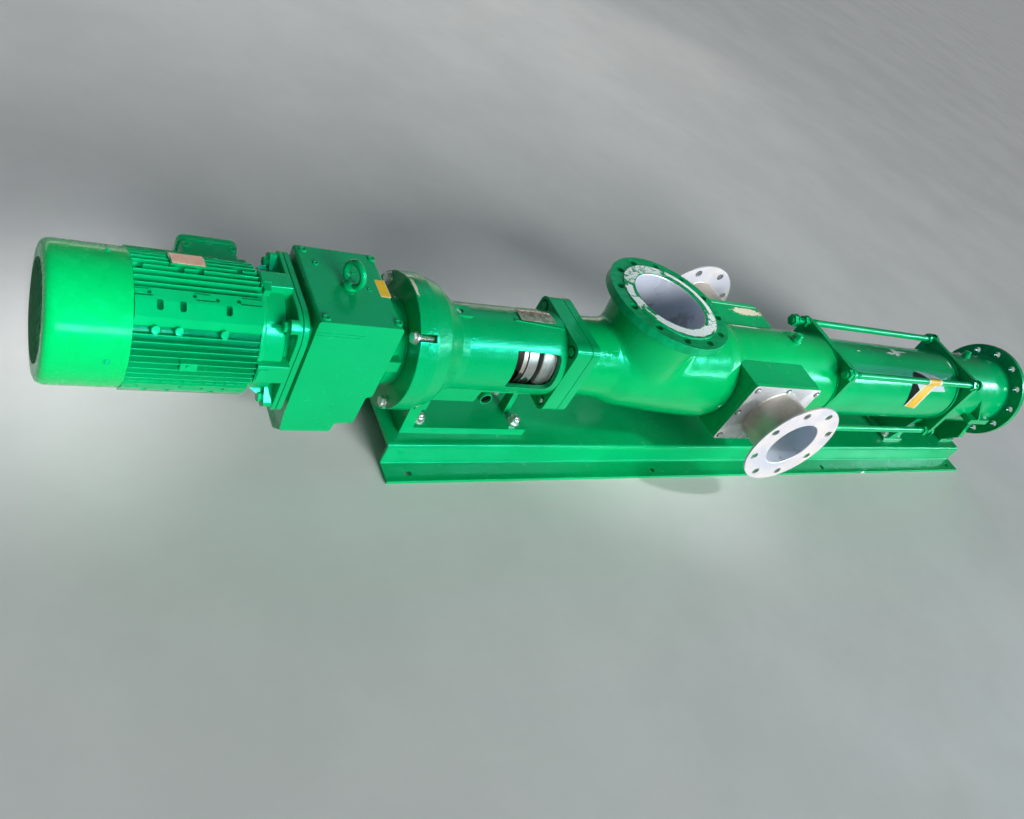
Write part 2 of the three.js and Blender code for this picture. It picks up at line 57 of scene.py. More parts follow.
# Driving sizes, the same as in the part's source. A name that ends in _R, _BORE or _HALF is half a width.
BASE_X0, BASE_X1, BASE_TOP, FLOOR = -640, 1828, -222, -290
BASE_HALF, BASE_FOOT_HALF, BASE_SHEET = 110, 167, 8
COWL_X0, COWL_X1, COWL_R = -1361, -1227, 126.5
MOTOR_X1, MOTOR_CORE_R, FIN_R = -1008, 114, 127.5
SHIELD_X1, PLATE_X1, ADAPTER_X1 = -947, -937, -925
PLATE_HALF, LUG_R = 116, 139
GEAR_X0, GEAR_X1, GEAR_HALF, GEAR_TOP = -918, -742, 113, 130
OUT_FLANGE_X0, OUT_FLANGE_X1, OUT_FLANGE_R, OUT_BOLT_R = -696, -675, 150, 132.5
LANTERN_X1, SEAL_X1, DRIVE_FLANGE_X1, SEAL_HALF = -280, -234, -210, 104
CASING_X1, TUBE_R, TUBE_BORE = 730, 126.5, 114
INLET_FACE, FLANGE_R, FLANGE_BORE, FLANGE_THICK, FLANGE_PCD_R, FACE_R = 205, 170, 100, 26, 147.5, 134
PORT_X, PORT_FACE, PORT_FLANGE_R, PORT_FLANGE_THICK, PORT_PCD_R, PORT_BORE = 422, 290, 142.5, 6, 120, 77
PORT_PLATE_X0, PORT_PLATE_X1, PORT_PLATE_Z, PORT_PLATE_FACE, PORT_PLATE_THICK = 278, 550, 103, 178, 14
END_PLATE_X0, END_PLATE_X1, STATOR_X1, STATOR_PLATE_X1, END_HALF = 730, 752, 1430, 1452, 130
STATOR_R, ROD_AT, TIE_R = 120, 115, 11
OUTLET_R, DISCHARGE_X0, DISCHARGE_X1 = 124, 1769, 1795
HOLE_R = 11

# Places and sizes that more than one piece needs.
QUARTERS = (45, 135, 225, 315)
EYE_X, VENT_X, GAUGE_X = -828, 565, 1575
SPOUT_AT = (-418, -104)
SHAFT_BORE_R, SHAFT_FIT_R = 30.4, 30.6
PORT_PLATE_BACK = PORT_PLATE_FACE - PORT_PLATE_THICK
PORT_NECK_R, PORT_SCREWS_X = 84, 418
PAD_TOP = BASE_TOP + 10


def place(x, y=0, z=0):
    return ORIGIN + Vector((x, y, z)) * MM


def polar(radius, degrees):
    """y and z of a point about the pump axis."""
    angle = math.radians(degrees)
    return -radius * math.cos(angle), radius * math.sin(angle)


# Shapes. A form is a bmesh in millimetres.


def rounded(points, steps=4):
    """Corners given as (u, v, radius) become arcs; those given as (u, v) stay sharp."""
    made = []
    count = len(points)
    for i, point in enumerate(points):
        corner = Vector(point[:2])
        radius = point[2] if len(point) > 2 else 0
        before = Vector(points[i - 1][:2]) - corner
        after = Vector(points[(i + 1) % count][:2]) - corner
        if radius <= 0 or before.length < 1e-6 or after.length < 1e-6:
            made.append(corner)
            continue
        half_angle = before.angle(after) / 2
        reach = min(radius / math.tan(half_angle), before.length * 0.49, after.length * 0.49)
        start = corner + before.normalized() * reach
        end = corner + after.normalized() * reach
        for step in range(steps + 1):
            t = step / steps
            made.append(start * (1 - t) ** 2 + corner * (2 * t * (1 - t)) + end * t * t)
    return made


def spread(axis, along, u, v):
    """A point from its place along an axis and the two places across it."""
    return {"X": (along, u, v), "Y": (u, along, v), "Z": (u, v, along)}[axis]


def bridge(form, one, two, shift=0):
    """Faces between two loops of as many corners; shift turns the second against the first."""
    count = len(one)
    for k in range(count):
        n = (k + 1) % count
        form.faces.new((one[k], one[n], two[(n + shift) % count], two[(k + shift) % count]))


def closed(form):
    bmesh.ops.recalc_face_normals(form, faces=form.faces)
    return form


def prism(outline, low, high, axis="X", steps=4):
    """An outline drawn across an axis (y, z on X; x, z on Y; x, y on Z), stretched along it."""
    form = bmesh.new()
    flat = rounded(outline, steps)
    bottom = [form.verts.new(spread(axis, low, u, v)) for u, v in flat]
    top = [form.verts.new(spread(axis, high, u, v)) for u, v in flat]
    form.faces.new(bottom)
    form.faces.new(top)
    bridge(form, bottom, top)
    return closed(form)


def rectangle(u0, u1, v0, v1, radius=0):
    return [(u0, v0, radius), (u1, v0, radius), (u1, v1, radius), (u0, v1, radius)]


def block(x0, x1, y0, y1, z0, z1, radius=0):
    return prism(rectangle(x0, x1, y0, y1, radius), z0, z1, "Z")


def lathe(profile, segments=96, axis="X", centre=(0, 0)):
    """A round body from pairs of place along the axis and radius; pairs off the axis close on themselves."""
    form = bmesh.new()
    rings = []
    flat = rounded(profile, 5)
    for along, radius in flat:
        spots = 1 if radius < 1e-6 else segments
        ring = []
        for k in range(spots):
            angle = 2 * math.pi * k / segments
            u = centre[0] + radius * math.cos(angle)
            v = centre[1] + radius * math.sin(angle)
            ring.append(form.verts.new(spread(axis, along, u, v)))
        rings.append(ring)
    pairs = list(zip(rings, rings[1:]))
    if len(rings[0]) > 1:
        pairs.append((rings[-1], rings[0]))
    for one, two in pairs:
        if len(one) == len(two):
            bridge(form, one, two)
            continue
        for k in range(segments):
            n = (k + 1) % segments
            form.faces.new((one[0], two[n], two[k]) if len(one) == 1 else (one[k], one[n], two[0]))
    return closed(form)


def annulus(low, high, inner, outer, segments=96, axis="X", centre=(0, 0), soft=0):
    """A washer or pipe or, with no inner radius, a disc; soft rounds its outer edges."""
    profile = [(low, inner), (low, outer, soft), (high, outer, soft), (high, inner)]
    return lathe(profile, segments, axis, centre)


def rod(low, high, radius, axis="X", centre=(0, 0), segments=48):
    return annulus(low, high, 0, radius, segments, axis, centre)


def sweep(points, radius, sides=8, endless=False, ripple=0):
    """A tube along points, or round and round where it is endless; ripple swells and thins it like the scales
    of a weld."""
    form = bmesh.new()
    count = len(points)
    rings = []
    side = None
    for i, point in enumerate(points):
        ahead = points[(i + 1) % count] if endless or i + 1 < count else point
        behind = points[i - 1] if endless or i > 0 else point
        along = (ahead - behind).normalized()
        if side is None:
            side = along.orthogonal().normalized()
        side = (side - along * side.dot(along)).normalized()
        other = along.cross(side)
        here = radius * (1 + ripple * math.sin(i * 2.1) + ripple * noise.noise(point * 0.08))
        ring = []
        for k in range(sides):
            angle = 2 * math.pi * k / sides
            ring.append(form.verts.new(point + (side * math.cos(angle) + other * math.sin(angle)) * here))
        rings.append(ring)
    for i in range(count if endless else count - 1):
        one, two = rings[i], rings[(i + 1) % count]
        shift = 0
        if endless and i == count - 1:
            shift = min(range(sides), key=lambda s: (two[s].co - one[0].co).length)
        bridge(form, one, two, shift)
    if not endless:
        form.faces.new(rings[0])
        form.faces.new(rings[-1])
    return closed(form)


def heap(forms):
    """Several forms as one, each still a shell of its own."""
    whole = bmesh.new()
    for form in forms:
        mesh = bpy.data.meshes.new("heap")
        form.to_mesh(mesh)
        form.free()
        whole.from_mesh(mesh)
        bpy.data.meshes.remove(mesh)
    return whole


def moved(form, x=0, y=0, z=0):
    bmesh.ops.translate(form, vec=(x, y, z), verts=form.verts)
    return form


def turned(form, degrees):
    """Turns a form about the pump axis."""
    bmesh.ops.rotate(form, matrix=Matrix.Rotation(math.radians(degrees), 3, "X"), verts=form.verts)
    return form


def outward(form, degrees):
    """Turns a form drawn with +Z outward to an angle about the pump axis."""
    return turned(form, 90 - degrees)


def mirrored(form):
    """Turns a form drawn towards +X into one that points to -X."""
    bmesh.ops.scale(form, vec=(-1, 1, 1), verts=form.verts)
    bmesh.ops.reverse_faces(form, faces=form.faces)
    return form


def linked(name, data):
    """A new object in the scene."""
    made = bpy.data.objects.new(name, data)
    bpy.context.scene.collection.objects.link(made)
    return made


def as_object(form, name="form"):
    mesh = bpy.data.meshes.new(name)
    form.to_mesh(mesh)
    form.free()
    return linked(name, mesh)


def settle(made):
    """Applies the modifiers of an object."""
    graph = bpy.context.evaluated_depsgraph_get()
    mesh = bpy.data.meshes.new_from_object(made.evaluated_get(graph))
    made.modifiers.clear()
    old = made.data
    made.data = mesh
    bpy.data.meshes.remove(old)


def forget(made):
    mesh = made.data
    bpy.data.objects.remove(made)
    bpy.data.meshes.remove(mesh)


def as_form(made):
    """Turns an object back into a form."""
    form = bmesh.new()
    form.from_mesh(made.data)
    forget(made)
    return form


def combined(form, others, operation):
    base = as_object(form)
    tools = [as_object(other) for other in others]
    for tool in tools:
        step = base.modifiers.new("step", "BOOLEAN")
        step.operation = operation
        step.solver = "EXACT"
        step.object = tool
    settle(base)
    for tool in tools:
        forget(tool)
    return as_form(base)


def cut(form, others):
    return combined(form, others, "DIFFERENCE")


def fused(form, others):
    return combined(form, others, "UNION")


# Corners nearer than this many metres are one, and edges bent by more than this angle can be bevelled.
MERGE_REACH = 2e-6
BEVEL_FROM = math.radians(35)


def piece(name, form, material, node=None, slot="green_paint", body="pump",
          bevel=0.0, segments=2, sharp=42):
    """Makes a finished piece in the frame: soft edges, clean shading, material and body; slot is not used. It
    takes the place of the node, where one is given."""
    bmesh.ops.scale(form, vec=(MM, MM, MM), verts=form.verts)
    bmesh.ops.translate(form, vec=ORIGIN, verts=form.verts)
    bmesh.ops.remove_doubles(form, verts=form.verts, dist=MERGE_REACH)
    bmesh.ops.dissolve_degenerate(form, edges=form.edges, dist=MERGE_REACH)
    made = as_object(form, name)
    if bevel:
        soft = made.modifiers.new("edges", "BEVEL")
        soft.width = bevel * MM
        soft.segments = segments
        soft.limit_method = "ANGLE"
        soft.angle_limit = BEVEL_FROM
        soft.use_clamp_overlap = True
        settle(made)
    made.data.shade_smooth()
    made.data.set_sharp_from_angle(angle=math.radians(sharp))
    normals = made.modifiers.new("normals", "WEIGHTED_NORMAL")
    normals.keep_sharp = True
    settle(made)
    made.data.materials.clear()
    made.data.materials.append(material)
    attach(made, body)
    if node:
        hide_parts(node)
    return made


def skin(node, kind, form, material, slot="green_paint", body="pump", **edges):
    """A piece in the place of a node; its own name is the node's with the kind added."""
    return piece(f"{node}_{kind}", form, material, node, slot, body, **edges)


def hexagon(across, low, high):
    """A bolt head or nut along +X with the corners taken off."""
    radius = across / 2 / math.cos(math.pi / 6)
    corners = [(low, 0), (low, radius * 0.97), (low + across * 0.03, radius),
               (high - across * 0.06, radius), (high, radius * 0.88), (high, 0)]
    return lathe(corners, 6)


def aimed(form, point, direction):
    """Moves a form drawn along +X from the origin to a point, with +X turned to a direction."""
    turn = Vector((1, 0, 0)).rotation_difference(Vector(direction)).to_matrix()
    bmesh.ops.rotate(form, matrix=turn, verts=form.verts)
    bmesh.ops.translate(form, vec=point, verts=form.verts)
    return form


def threaded(low, high, radius, pitch=2.0):
    """A screw end along +X, its thread drawn as close rings."""
    profile = [(low, 0)]
    count = max(2, int((high - low) / pitch))
    for i in range(count):
        x = low + (high - low) * i / count
        profile.append((x, radius * 0.9))
        profile.append((x + pitch * 0.5, radius))
    profile += [(high - 1, radius * 0.9), (high, radius * 0.75), (high, 0)]
    return lathe(profile, 20)


def on_round(form, x, radius, degrees):
    """Sets a form drawn along +X on a round surface about the pump axis, pointing outward."""
    y, z = polar(radius, degrees)
    return aimed(form, (x, y, z), (0, y, z))


def bolt(point, direction, size, stud=0.0, washer=True, spin=0.0):
    """A hex head on a washer, or a nut with a stud end coming out of it."""
    parts = []
    base = 0
    if washer:
        base = size * 0.18
        parts.append(annulus(0, base, 0, size, 28, soft=0.5))
    parts.append(hexagon(size * 1.55, base, base + size * (0.85 if stud else 0.66)))
    if stud:
        parts.append(threaded(base + size * 0.8, base + size * 0.85 + stud, size / 2, size * 0.13))
    return aimed(turned(heap(parts), spin), point, direction)


# Materials. Every one is made of nodes in the piece's own coordinates, so it stays put on the piece.

GREEN_FRESH = (0.0, 0.400, 0.130, 1)
GREEN_DEEP = (0.0, 0.345, 0.108, 1)
GREEN_DARK = (0.0, 0.110, 0.035, 1)
DUST = (0.26, 0.30, 0.24, 1)
PRIMER = (0.86, 0.90, 0.88, 1)
CREAM = (0.80, 0.74, 0.56, 1)
# Painted light: the casing's green is yellower than the pump's, standing in for the warm light that falls on
# it.
CASING_PAINTED_WARM_LIGHT_FRESH = (0.0, 0.390, 0.105, 1)
CASING_PAINTED_WARM_LIGHT_DEEP = (0.0, 0.340, 0.088, 1)
# Painted light: the cowl's green is brighter and yellower than the pump's, standing in for the stronger light
# it gets.
COWL_PAINTED_LIGHT_FRESH = (0.0, 0.46, 0.110, 1)
COWL_PAINTED_LIGHT_DEEP = (0.0, 0.41, 0.095, 1)
GLOSS_TINT = (0.02, 0.95, 0.85, 1)
LIGHT_DAB = (0.22, 0.66, 0.42, 1)


class Look:
    """The node tree of one material, built by short calls that give sockets back."""

    def __init__(self, name):
        self.material = bpy.data.materials.new(name)
        self.material.use_nodes = True
        self.tree = self.material.node_tree
        self.tree.nodes.clear()
        self.shader = self.tree.nodes.new("ShaderNodeBsdfPrincipled")
        output = self.tree.nodes.new("ShaderNodeOutputMaterial")
        self.tree.links.new(self.shader.outputs[0], output.inputs[0])
        self.where = self.node("TexCoord", out="Object")
        self.facing = self.node("NewGeometry", out="Normal")

    def put(self, socket, value):
        if isinstance(value, bpy.types.NodeSocket):
            self.tree.links.new(value, socket)
        else:
            socket.default_value = value

    def node(self, kind, inputs=(), out=0, **settings):
        """Adds a node, fills the inputs given by number or name, and gives one of its outputs."""
        made = self.tree.nodes.new("ShaderNode" + kind)
        for name, value in settings.items():
            setattr(made, name, value)
        for socket, value in dict(inputs).items():
            self.put(made.inputs[socket], value)
        return made.outputs[out]

    def set(self, **values):
        """Sets sockets of the shader; roughness=0.3 sets Roughness, coat_weight= sets Coat Weight."""
        for name, value in values.items():
            self.put(self.shader.inputs[name.replace("_", " ").title().replace("Ior", "IOR")], value)

    def math(self, operation, one, two=0.0):
        return self.node("Math", {0: one, 1: two}, operation=operation)

    def times(self, one, two):
        return self.math("MULTIPLY", one, two)

    def vector(self, operation, one, two, out=0):
        return self.node("VectorMath", {0: one, 1: two}, out, operation=operation)

    def noise(self, scale, detail=2.0, rough=0.5, stretch=None, shift=0.0, distort=0.0):
        """Cloudy noise from 0 to 1; scale is cells per metre and stretch scales the axes."""
        at = self.where
        if stretch:
            at = self.vector("MULTIPLY", at, stretch)
        if shift:
            at = self.vector("ADD", at, (shift, shift * 0.7, shift * 1.3))
        return self.node("TexNoise", {"Vector": at, "Scale": scale, "Detail": detail, "Roughness": rough,
                                      "Distortion": distort})

    def band(self, value, low, high, start=0.0, end=1.0):
        """Runs smoothly from start to end as the value goes from low to high."""
        return self.node("MapRange", {"Value": value, "From Min": low, "From Max": high, "To Min": start,
                                      "To Max": end}, interpolation_type="SMOOTHSTEP")

    def mix(self, factor, one, two):
        return self.node("Mix", {0: factor, 6: one, 7: two}, 2, data_type="RGBA")

    def axis(self, name, of=None):
        return self.node("SeparateXYZ", {0: of or self.where}, "XYZ".index(name))

    def near(self, centre, radii, ragged=0.5, scale=160.0):
        """1 inside a ragged blot about a point (millimetres about the pump axis), 0 outside."""
        offset = self.vector("SUBTRACT", self.where, place(*centre))
        squeezed = self.vector("DIVIDE", offset, [r * MM for r in radii])
        distance = self.vector("LENGTH", squeezed, (0, 0, 0), "Value")
        edge = self.times(self.math("SUBTRACT", self.noise(scale, 4, 0.65), 0.5), ragged * 4)
        return self.band(self.math("ADD", distance, edge), 1.05, 0.95)

    def most(self, masks):
        total = masks[0]
        for mask in masks[1:]:
            total = self.math("MAXIMUM", total, mask)
        return total

    def bump(self, height, depth, under=None):
        """Adds relief; depth is how many millimetres a height of 1 stands up."""
        inputs = {"Strength": 1.0, "Distance": depth * MM, "Height": height}
        if under:
            inputs["Normal"] = under
        return self.node("Bump", inputs)


def paint(name, seed, dust, strokes, cast=0.0, chips=(), pale=(), roughness=0.15, flecks=0.0,
          fresh=GREEN_FRESH, deep=GREEN_DEEP, gloss=0.5, pebble=0.0):
    """Thick glossy green enamel. cast is the lumpiness under it, strokes the brush marks along the pump;
    chips and pale are (centre, radii) blots of bare metal and of scraped cream undercoat, though a few of
    them are painted highlights and painted reflections, and flecks is how many light dabs of thinner paint
    there are. pebble is the height of its orange peel in millimetres."""
    look = Look(name)
    broad = look.noise(4.0, 3, 0.6, shift=seed)
    fine = look.noise(38.0, 4, 0.6, shift=seed + 3)
    tone = look.mix(look.band(broad, 0.30, 0.70), deep, fresh)
    tone = look.mix(look.band(fine, 0.40, 0.25, 0, 0.12), tone, GREEN_DARK)
    up = look.band(look.axis("Z", look.facing), 0.55, 0.98)
    settled = look.times(up, look.band(look.noise(16, 5, 0.7, shift=seed + 7), 0.42, 0.75))
    tone = look.mix(look.times(settled, 0.05 * dust), tone, DUST)
    rough = look.math("ADD", look.band(fine, 0.3, 0.7, roughness - 0.06, roughness + 0.09),
                      look.times(settled, 0.25 * dust))
    if flecks:
        dabs = look.noise(75, 3, 0.6, stretch=(1, 2.6, 1), shift=seed + 8, distort=0.5)
        tone = look.mix(look.band(dabs, 0.76 - 0.06 * flecks, 0.79 - 0.06 * flecks, 0, 0.6), tone, LIGHT_DAB)
    peel = look.bump(look.noise(210, 3, 0.6, shift=seed), 0.03 + 0.26 * cast)
    if pebble:
        peel = look.bump(look.noise(150, 3, 0.6, shift=seed + 9), pebble, peel)
    brush = look.bump(look.noise(30, 3, 0.55, stretch=(1, 9, 9), shift=seed + 5), 0.25 * strokes, peel)
    relief = look.bump(look.noise(55, 4, 0.62, shift=seed + 1), 0.16 + 0.8 * cast, brush)
    metal = 0.0
    for blots, colour, shine in ((pale, CREAM, 0.0), (chips, PRIMER, 0.2)):
        if blots:
            mask = look.most([look.near(*blot) for blot in blots])
            tone = look.mix(mask, tone, colour)
            rough = look.math("ADD", rough, look.times(mask, 0.25))
            relief = look.bump(look.math("SUBTRACT", 1.0, mask), 0.35, relief)
            if shine:
                metal = look.times(mask, shine)
    look.set(base_color=tone, roughness=rough, metallic=metal, normal=relief)
    look.set(specular_tint=GLOSS_TINT, specular_ior_level=gloss)
    look.set(coat_weight=0.12 * gloss, coat_roughness=0.05)
    return look.material


def bare_steel(name, seed, light, dull, shine=0.5):
    """Pickled and wire-brushed steel with stains."""
    look = Look(name)
    cloud = look.noise(9, 5, 0.65, shift=seed)
    stain = look.noise(28, 4, 0.7, shift=seed + 4, distort=0.6)
    lines = look.noise(70, 3, 0.6, stretch=(1, 1, 12), shift=seed + 2)
    tone = look.mix(look.band(cloud, 0.35, 0.65), dull, light)
    tone = look.mix(look.band(stain, 0.60, 0.74, 0, 0.4 * shine), tone, (0.33, 0.29, 0.25, 1))
    tone = look.mix(look.band(lines, 0.55, 0.75, 0, 0.35), tone, (0.86, 0.86, 0.83, 1))
    look.set(base_color=tone, roughness=look.band(lines, 0.3, 0.7, 0.34, 0.52), metallic=shine)
    look.set(normal=look.bump(lines, 0.12, look.bump(stain, 0.2)))
    return look.material


def turned_steel(name, tone=(0.62, 0.60, 0.57, 1), seed=0.0, grime=0.4, roughness=0.22, painted_shade=()):
    """Metal with fine turning rings across X, dark oil film in patches, and black painted shade in the blots
    given.
    """
    look = Look(name)
    rings = look.noise(1.0, 3, 0.7, stretch=(900, 6, 6), shift=seed)
    film = look.noise(24, 4, 0.65, shift=seed + 2)
    colour = look.mix(look.band(film, 0.45, 0.7, 0, grime), tone, (0.10, 0.085, 0.07, 1))
    colour = look.mix(look.band(rings, 0.35, 0.75, 0, 0.3), colour, (0.85, 0.85, 0.85, 1))
    metal = 0.95
    if painted_shade:
        # Painted shade: inside the blots the metal turns black and dull.
        black = look.most([look.near(*blot, ragged=0.25) for blot in painted_shade])
        colour = look.mix(black, colour, (0.006, 0.007, 0.006, 1))
        metal = look.band(black, 0, 1, metal, 0.0)
    look.set(base_color=colour, metallic=metal, normal=look.bump(rings, 0.06))
    look.set(roughness=look.band(film, 0.3, 0.7, roughness, roughness + 0.2))
    return look.material


def zinc():
    """Zinc plate with dull clouds and a few dark spots."""
    look = Look("zinc_plate")
    cloud = look.noise(60, 4, 0.6)
    spots = look.band(look.noise(25, 3, shift=5), 0.58, 0.72, 0, 0.7)
    colour = look.mix(look.band(cloud, 0.35, 0.7), (0.62, 0.64, 0.63, 1), (0.80, 0.81, 0.78, 1))
    look.set(base_color=look.mix(spots, colour, (0.20, 0.21, 0.18, 1)), metallic=0.85)
    look.set(roughness=look.band(cloud, 0.3, 0.7, 0.22, 0.42), normal=look.bump(look.noise(500, 3), 0.05))
    return look.material


def plain_mix(name, one, two, scale, roughness, metallic=0.0, relief=0.05, spots=None, gloss=0.5):
    """A surface that wavers between two colours, for labels, rubber, lining paint and the like."""
    look = Look(name)
    colour = look.mix(look.band(look.noise(scale, 5, 0.65), 0.35, 0.65), one, two)
    if spots:
        spotted = look.band(look.noise(scale * 2.3, 4, 0.7, shift=3), 0.62, 0.72, 0, 0.8)
        colour = look.mix(spotted, colour, spots)
    dull = look.noise(scale * 3, 3, shift=1)
    look.set(base_color=colour, roughness=look.band(dull, 0.3, 0.7, roughness - 0.08, roughness + 0.1))
    look.set(metallic=metallic, specular_ior_level=gloss, normal=look.bump(look.noise(scale * 8, 3), relief))
    return look.material


cast_green = paint("green_casting", cast=0.55, seed=2.0, dust=0.45, strokes=0.3)
fin_green = paint("green_fins", cast=0.35, seed=3.0, dust=0.35, strokes=0.0)
plate_green = paint("green_plates", cast=0.10, seed=4.0, dust=0.35, strokes=0.4)
bright_zinc = zinc()
inside_paint = plain_mix("inside_pale", (0.56, 0.61, 0.74, 1), (0.64, 0.68, 0.78, 1), 4, 0.34, 0.25,
                         relief=0.10, spots=(0.36, 0.38, 0.42, 1))
# Painted shade: a dark ring round each screw head on the side plates.
ring_painted_shade = plain_mix("screw_ring_painted_shade", (0.05, 0.06, 0.055, 1), (0.10, 0.12, 0.11, 1), 90, 0.6, gloss=0.3)
seam_dark = plain_mix("seam_dark", (0.0, 0.045, 0.016, 1), (0.0, 0.07, 0.025, 1), 60, 0.6, gloss=0.2)
green_zinc = paint("green_over_bolts", cast=0.2, seed=5.0, dust=0.2, strokes=0.0, roughness=0.25)
# Black that stands in for shade in openings and hollows: painted shade.
black_painted_shade = plain_mix("inside_painted_shade", (0.002, 0.004, 0.003, 1), (0.004, 0.007, 0.006, 1), 40, 0.9, gloss=0.05)


def fittings(name, forms):
    """Zinc plated bolts and screws as one piece."""
    piece(name, heap(forms), bright_zinc, slot="bare_steel")


# Base.


def base_rail():
    """One folded sheet: a flat top, two sides and two feet turned outward, with holes to bolt it down."""
    inner = BASE_HALF - BASE_SHEET
    foot_top = FLOOR + BASE_SHEET
    half = [
        (inner, BASE_TOP - BASE_SHEET, 4), (inner, FLOOR, 13), (BASE_FOOT_HALF, FLOOR, 1),
        (BASE_FOOT_HALF, foot_top, 2), (BASE_HALF, foot_top, 7), (BASE_HALF, BASE_TOP, 11),
    ]
    other = [(-y, z, radius) for y, z, radius in reversed(half)]
    rail = prism(half + other, BASE_X0, BASE_X1, steps=5)
    drills = [rod(FLOOR - 5, FLOOR + 15, 9, "Z", (x, y), 24)
              for x in (-578, 202, 989, 1777) for y in (-143, 143)]
    chips = [((1205, -167, -286), (9, 5, 4))]
    look = paint("green_base", cast=0.12, seed=6.0, dust=0.4, strokes=0.5, chips=chips, gloss=0.38)
    skin("base_rail", "folded", cut(rail, drills), look, "base_paint", bevel=1.0)


# Motor.


def fan_cowl():
    shell = lathe([
        (COWL_X1 - 1, 119), (COWL_X1 - 1, COWL_R, 1.2), (COWL_X0, COWL_R, 30), (COWL_X0, 90, 2),
        (COWL_X0 + 5, 90, 2), (COWL_X0 + 5, 113, 22), (COWL_X0 + 60, 119),
    ], 128)
    look = paint("green_cowl", seed=7.0, dust=0.0, strokes=0.02, roughness=0.24, gloss=0.32,
                 fresh=COWL_PAINTED_LIGHT_FRESH, deep=COWL_PAINTED_LIGHT_DEEP)
    skin("motor_fan_cowl", "pressed", shell, look)
    screws = []
    for degrees in (104.5, 4, 194, 284):
        head = [annulus(0, 1.2, 0, 6.5, 24, soft=1),
                lathe([(1, 0), (1, 4.6), (2.6, 4.2, 1), (3.6, 2.6), (3.7, 0)], 20)]
        screws.append(on_round(heap(head), -1262, COWL_R - 0.6, degrees))
    piece("motor_cowl_screws", heap(screws), green_zinc)


def holed_sheet(x, reach):
    """A dished sheet of six-sided holes laid out as a honeycomb, without holes near its middle."""
    form = bmesh.new()
    pitch, hole = 8.0, 3.3
    dish, dish_r, plain_r = 5.5, 92, 16
    row_pitch = pitch * 0.866
    rows = int(reach / row_pitch) + 1
    web = pitch / math.sqrt(3)
    for row in range(-rows, rows + 1):
        for column in range(-rows - 6, rows + 7):
            y = (column + 0.5 * (row % 2)) * pitch
            z = row * row_pitch
            far = math.hypot(y, z)
            if far > reach - 2:
                continue
            rim, opening = [], []
            for k in range(6):
                angle = math.radians(60 * k + 30)
                for radius, corners in ((web, rim), (0 if far < plain_r else hole, opening)):
                    v, w = y + radius * math.cos(angle), z + radius * math.sin(angle)
                    depth = -dish * (1 - (math.hypot(v, w) / dish_r) ** 2)
                    corners.append(form.verts.new((x + depth, v, w)))
            for k in range(6):
                n = (k + 1) % 6
                form.faces.new((rim[k], rim[n], opening[n], opening[k]))
    bmesh.ops.remove_doubles(form, verts=form.verts, dist=0.01)
    return form


def fan_grille():
    """A pressed guard full of round holes in front of the opening, where a black disc and hub are painted
    shade.
    """
    guard = as_object(holed_sheet(COWL_X0 - 1, 86.0))
    sheet = guard.modifiers.new("sheet", "SOLIDIFY")
    sheet.thickness, sheet.offset = 1.2, 0
    settle(guard)
    edge = annulus(COWL_X0 - 1.6, COWL_X0 + 1.5, 84, 91.5, soft=1)
    look = plain_mix("green_guard", (0.010, 0.075, 0.030, 1), (0.016, 0.11, 0.045, 1), 30, 0.7, gloss=0.12)
    piece("motor_fan_guard", heap([as_form(guard), edge]), look, "motor_fan_grille", sharp=50)
    # Painted shade: a black disc and hub fill the opening behind the guard.
    inside = [annulus(COWL_X0 + 26, COWL_X0 + 28, 0, 112, 64), rod(COWL_X0 + 12, COWL_X0 + 28, 22)]
    piece("motor_fan_cowl_painted_shade", heap(inside), black_painted_shade, slot=None)


def foot_band(middle):
    """The smooth band where feet could be bolted on, with its grooves, open pockets and drilled bosses."""
    edges = [(112, middle + 23), (126, middle + 22.5), (129, middle + 12), (130.5, middle - 1),
             (121, middle - 8), (112, middle - 10)]
    outline = [polar(radius, degrees) for radius, degrees in edges]
    band = prism(outline, COWL_X1 - 0.5, MOTOR_X1 - 0.5)
    grooves = [(COWL_X1, -1206, 21.5), (COWL_X1, -1199, 16), (-1130, -1102, 21.2), (-1127, -1089, 15.4),
               (-1047, MOTOR_X1, 21.2), (-1049, MOTOR_X1, 15.4)]
    drills = [outward(block(x0, x1, -1.3, 1.3, 119, 140), middle + turn) for x0, x1, turn in grooves]
    for x, turn in ((-1204, 18.5), (-1129, 18.5), (-1090, 17), (-1052, 17.5)):
        drills.append(outward(rod(114, 140, 3.6, "Z", (x, 0), 20), middle + turn))
    for x in (-1187, -1149, -1070):
        drills.append(outward(block(x - 5.5, x + 5.5, -10, 9, 112, 140, 5), middle + 9))
    bosses = []
    for x in (-1192, -1153, -1075):
        boss = lathe([(112, 0), (112, 9), (128, 8, 2), (128, 0)], 28, "Z", (x, 0))
        bosses.append(outward(boss, middle - 11))
        drills.append(outward(block(x + 1, x + 8, -7, 7, 123, 140, 3), middle - 10))
    return cut(fused(band, bosses), drills)


def fin_stretches(start, end):
    """The lengths of fin at each angle where they aren't whole: small breaks on top, room for the nameplate,
    and short teeth low on the front."""
    beside_plate = [(start, -1165), (-1098, end)]
    teeth = [(-1222 + 19 * i, -1209 + 19 * i) for i in range(11)]
    return {90: [(start, -1220), (-1210, -1151), (-1141, -1117), (-1107, end)],
            96: [(start, -1165), (-1098, -1046), (-1036, end)],
            102: beside_plate, 108: beside_plate, 114: beside_plate, 336: teeth, 342: teeth}


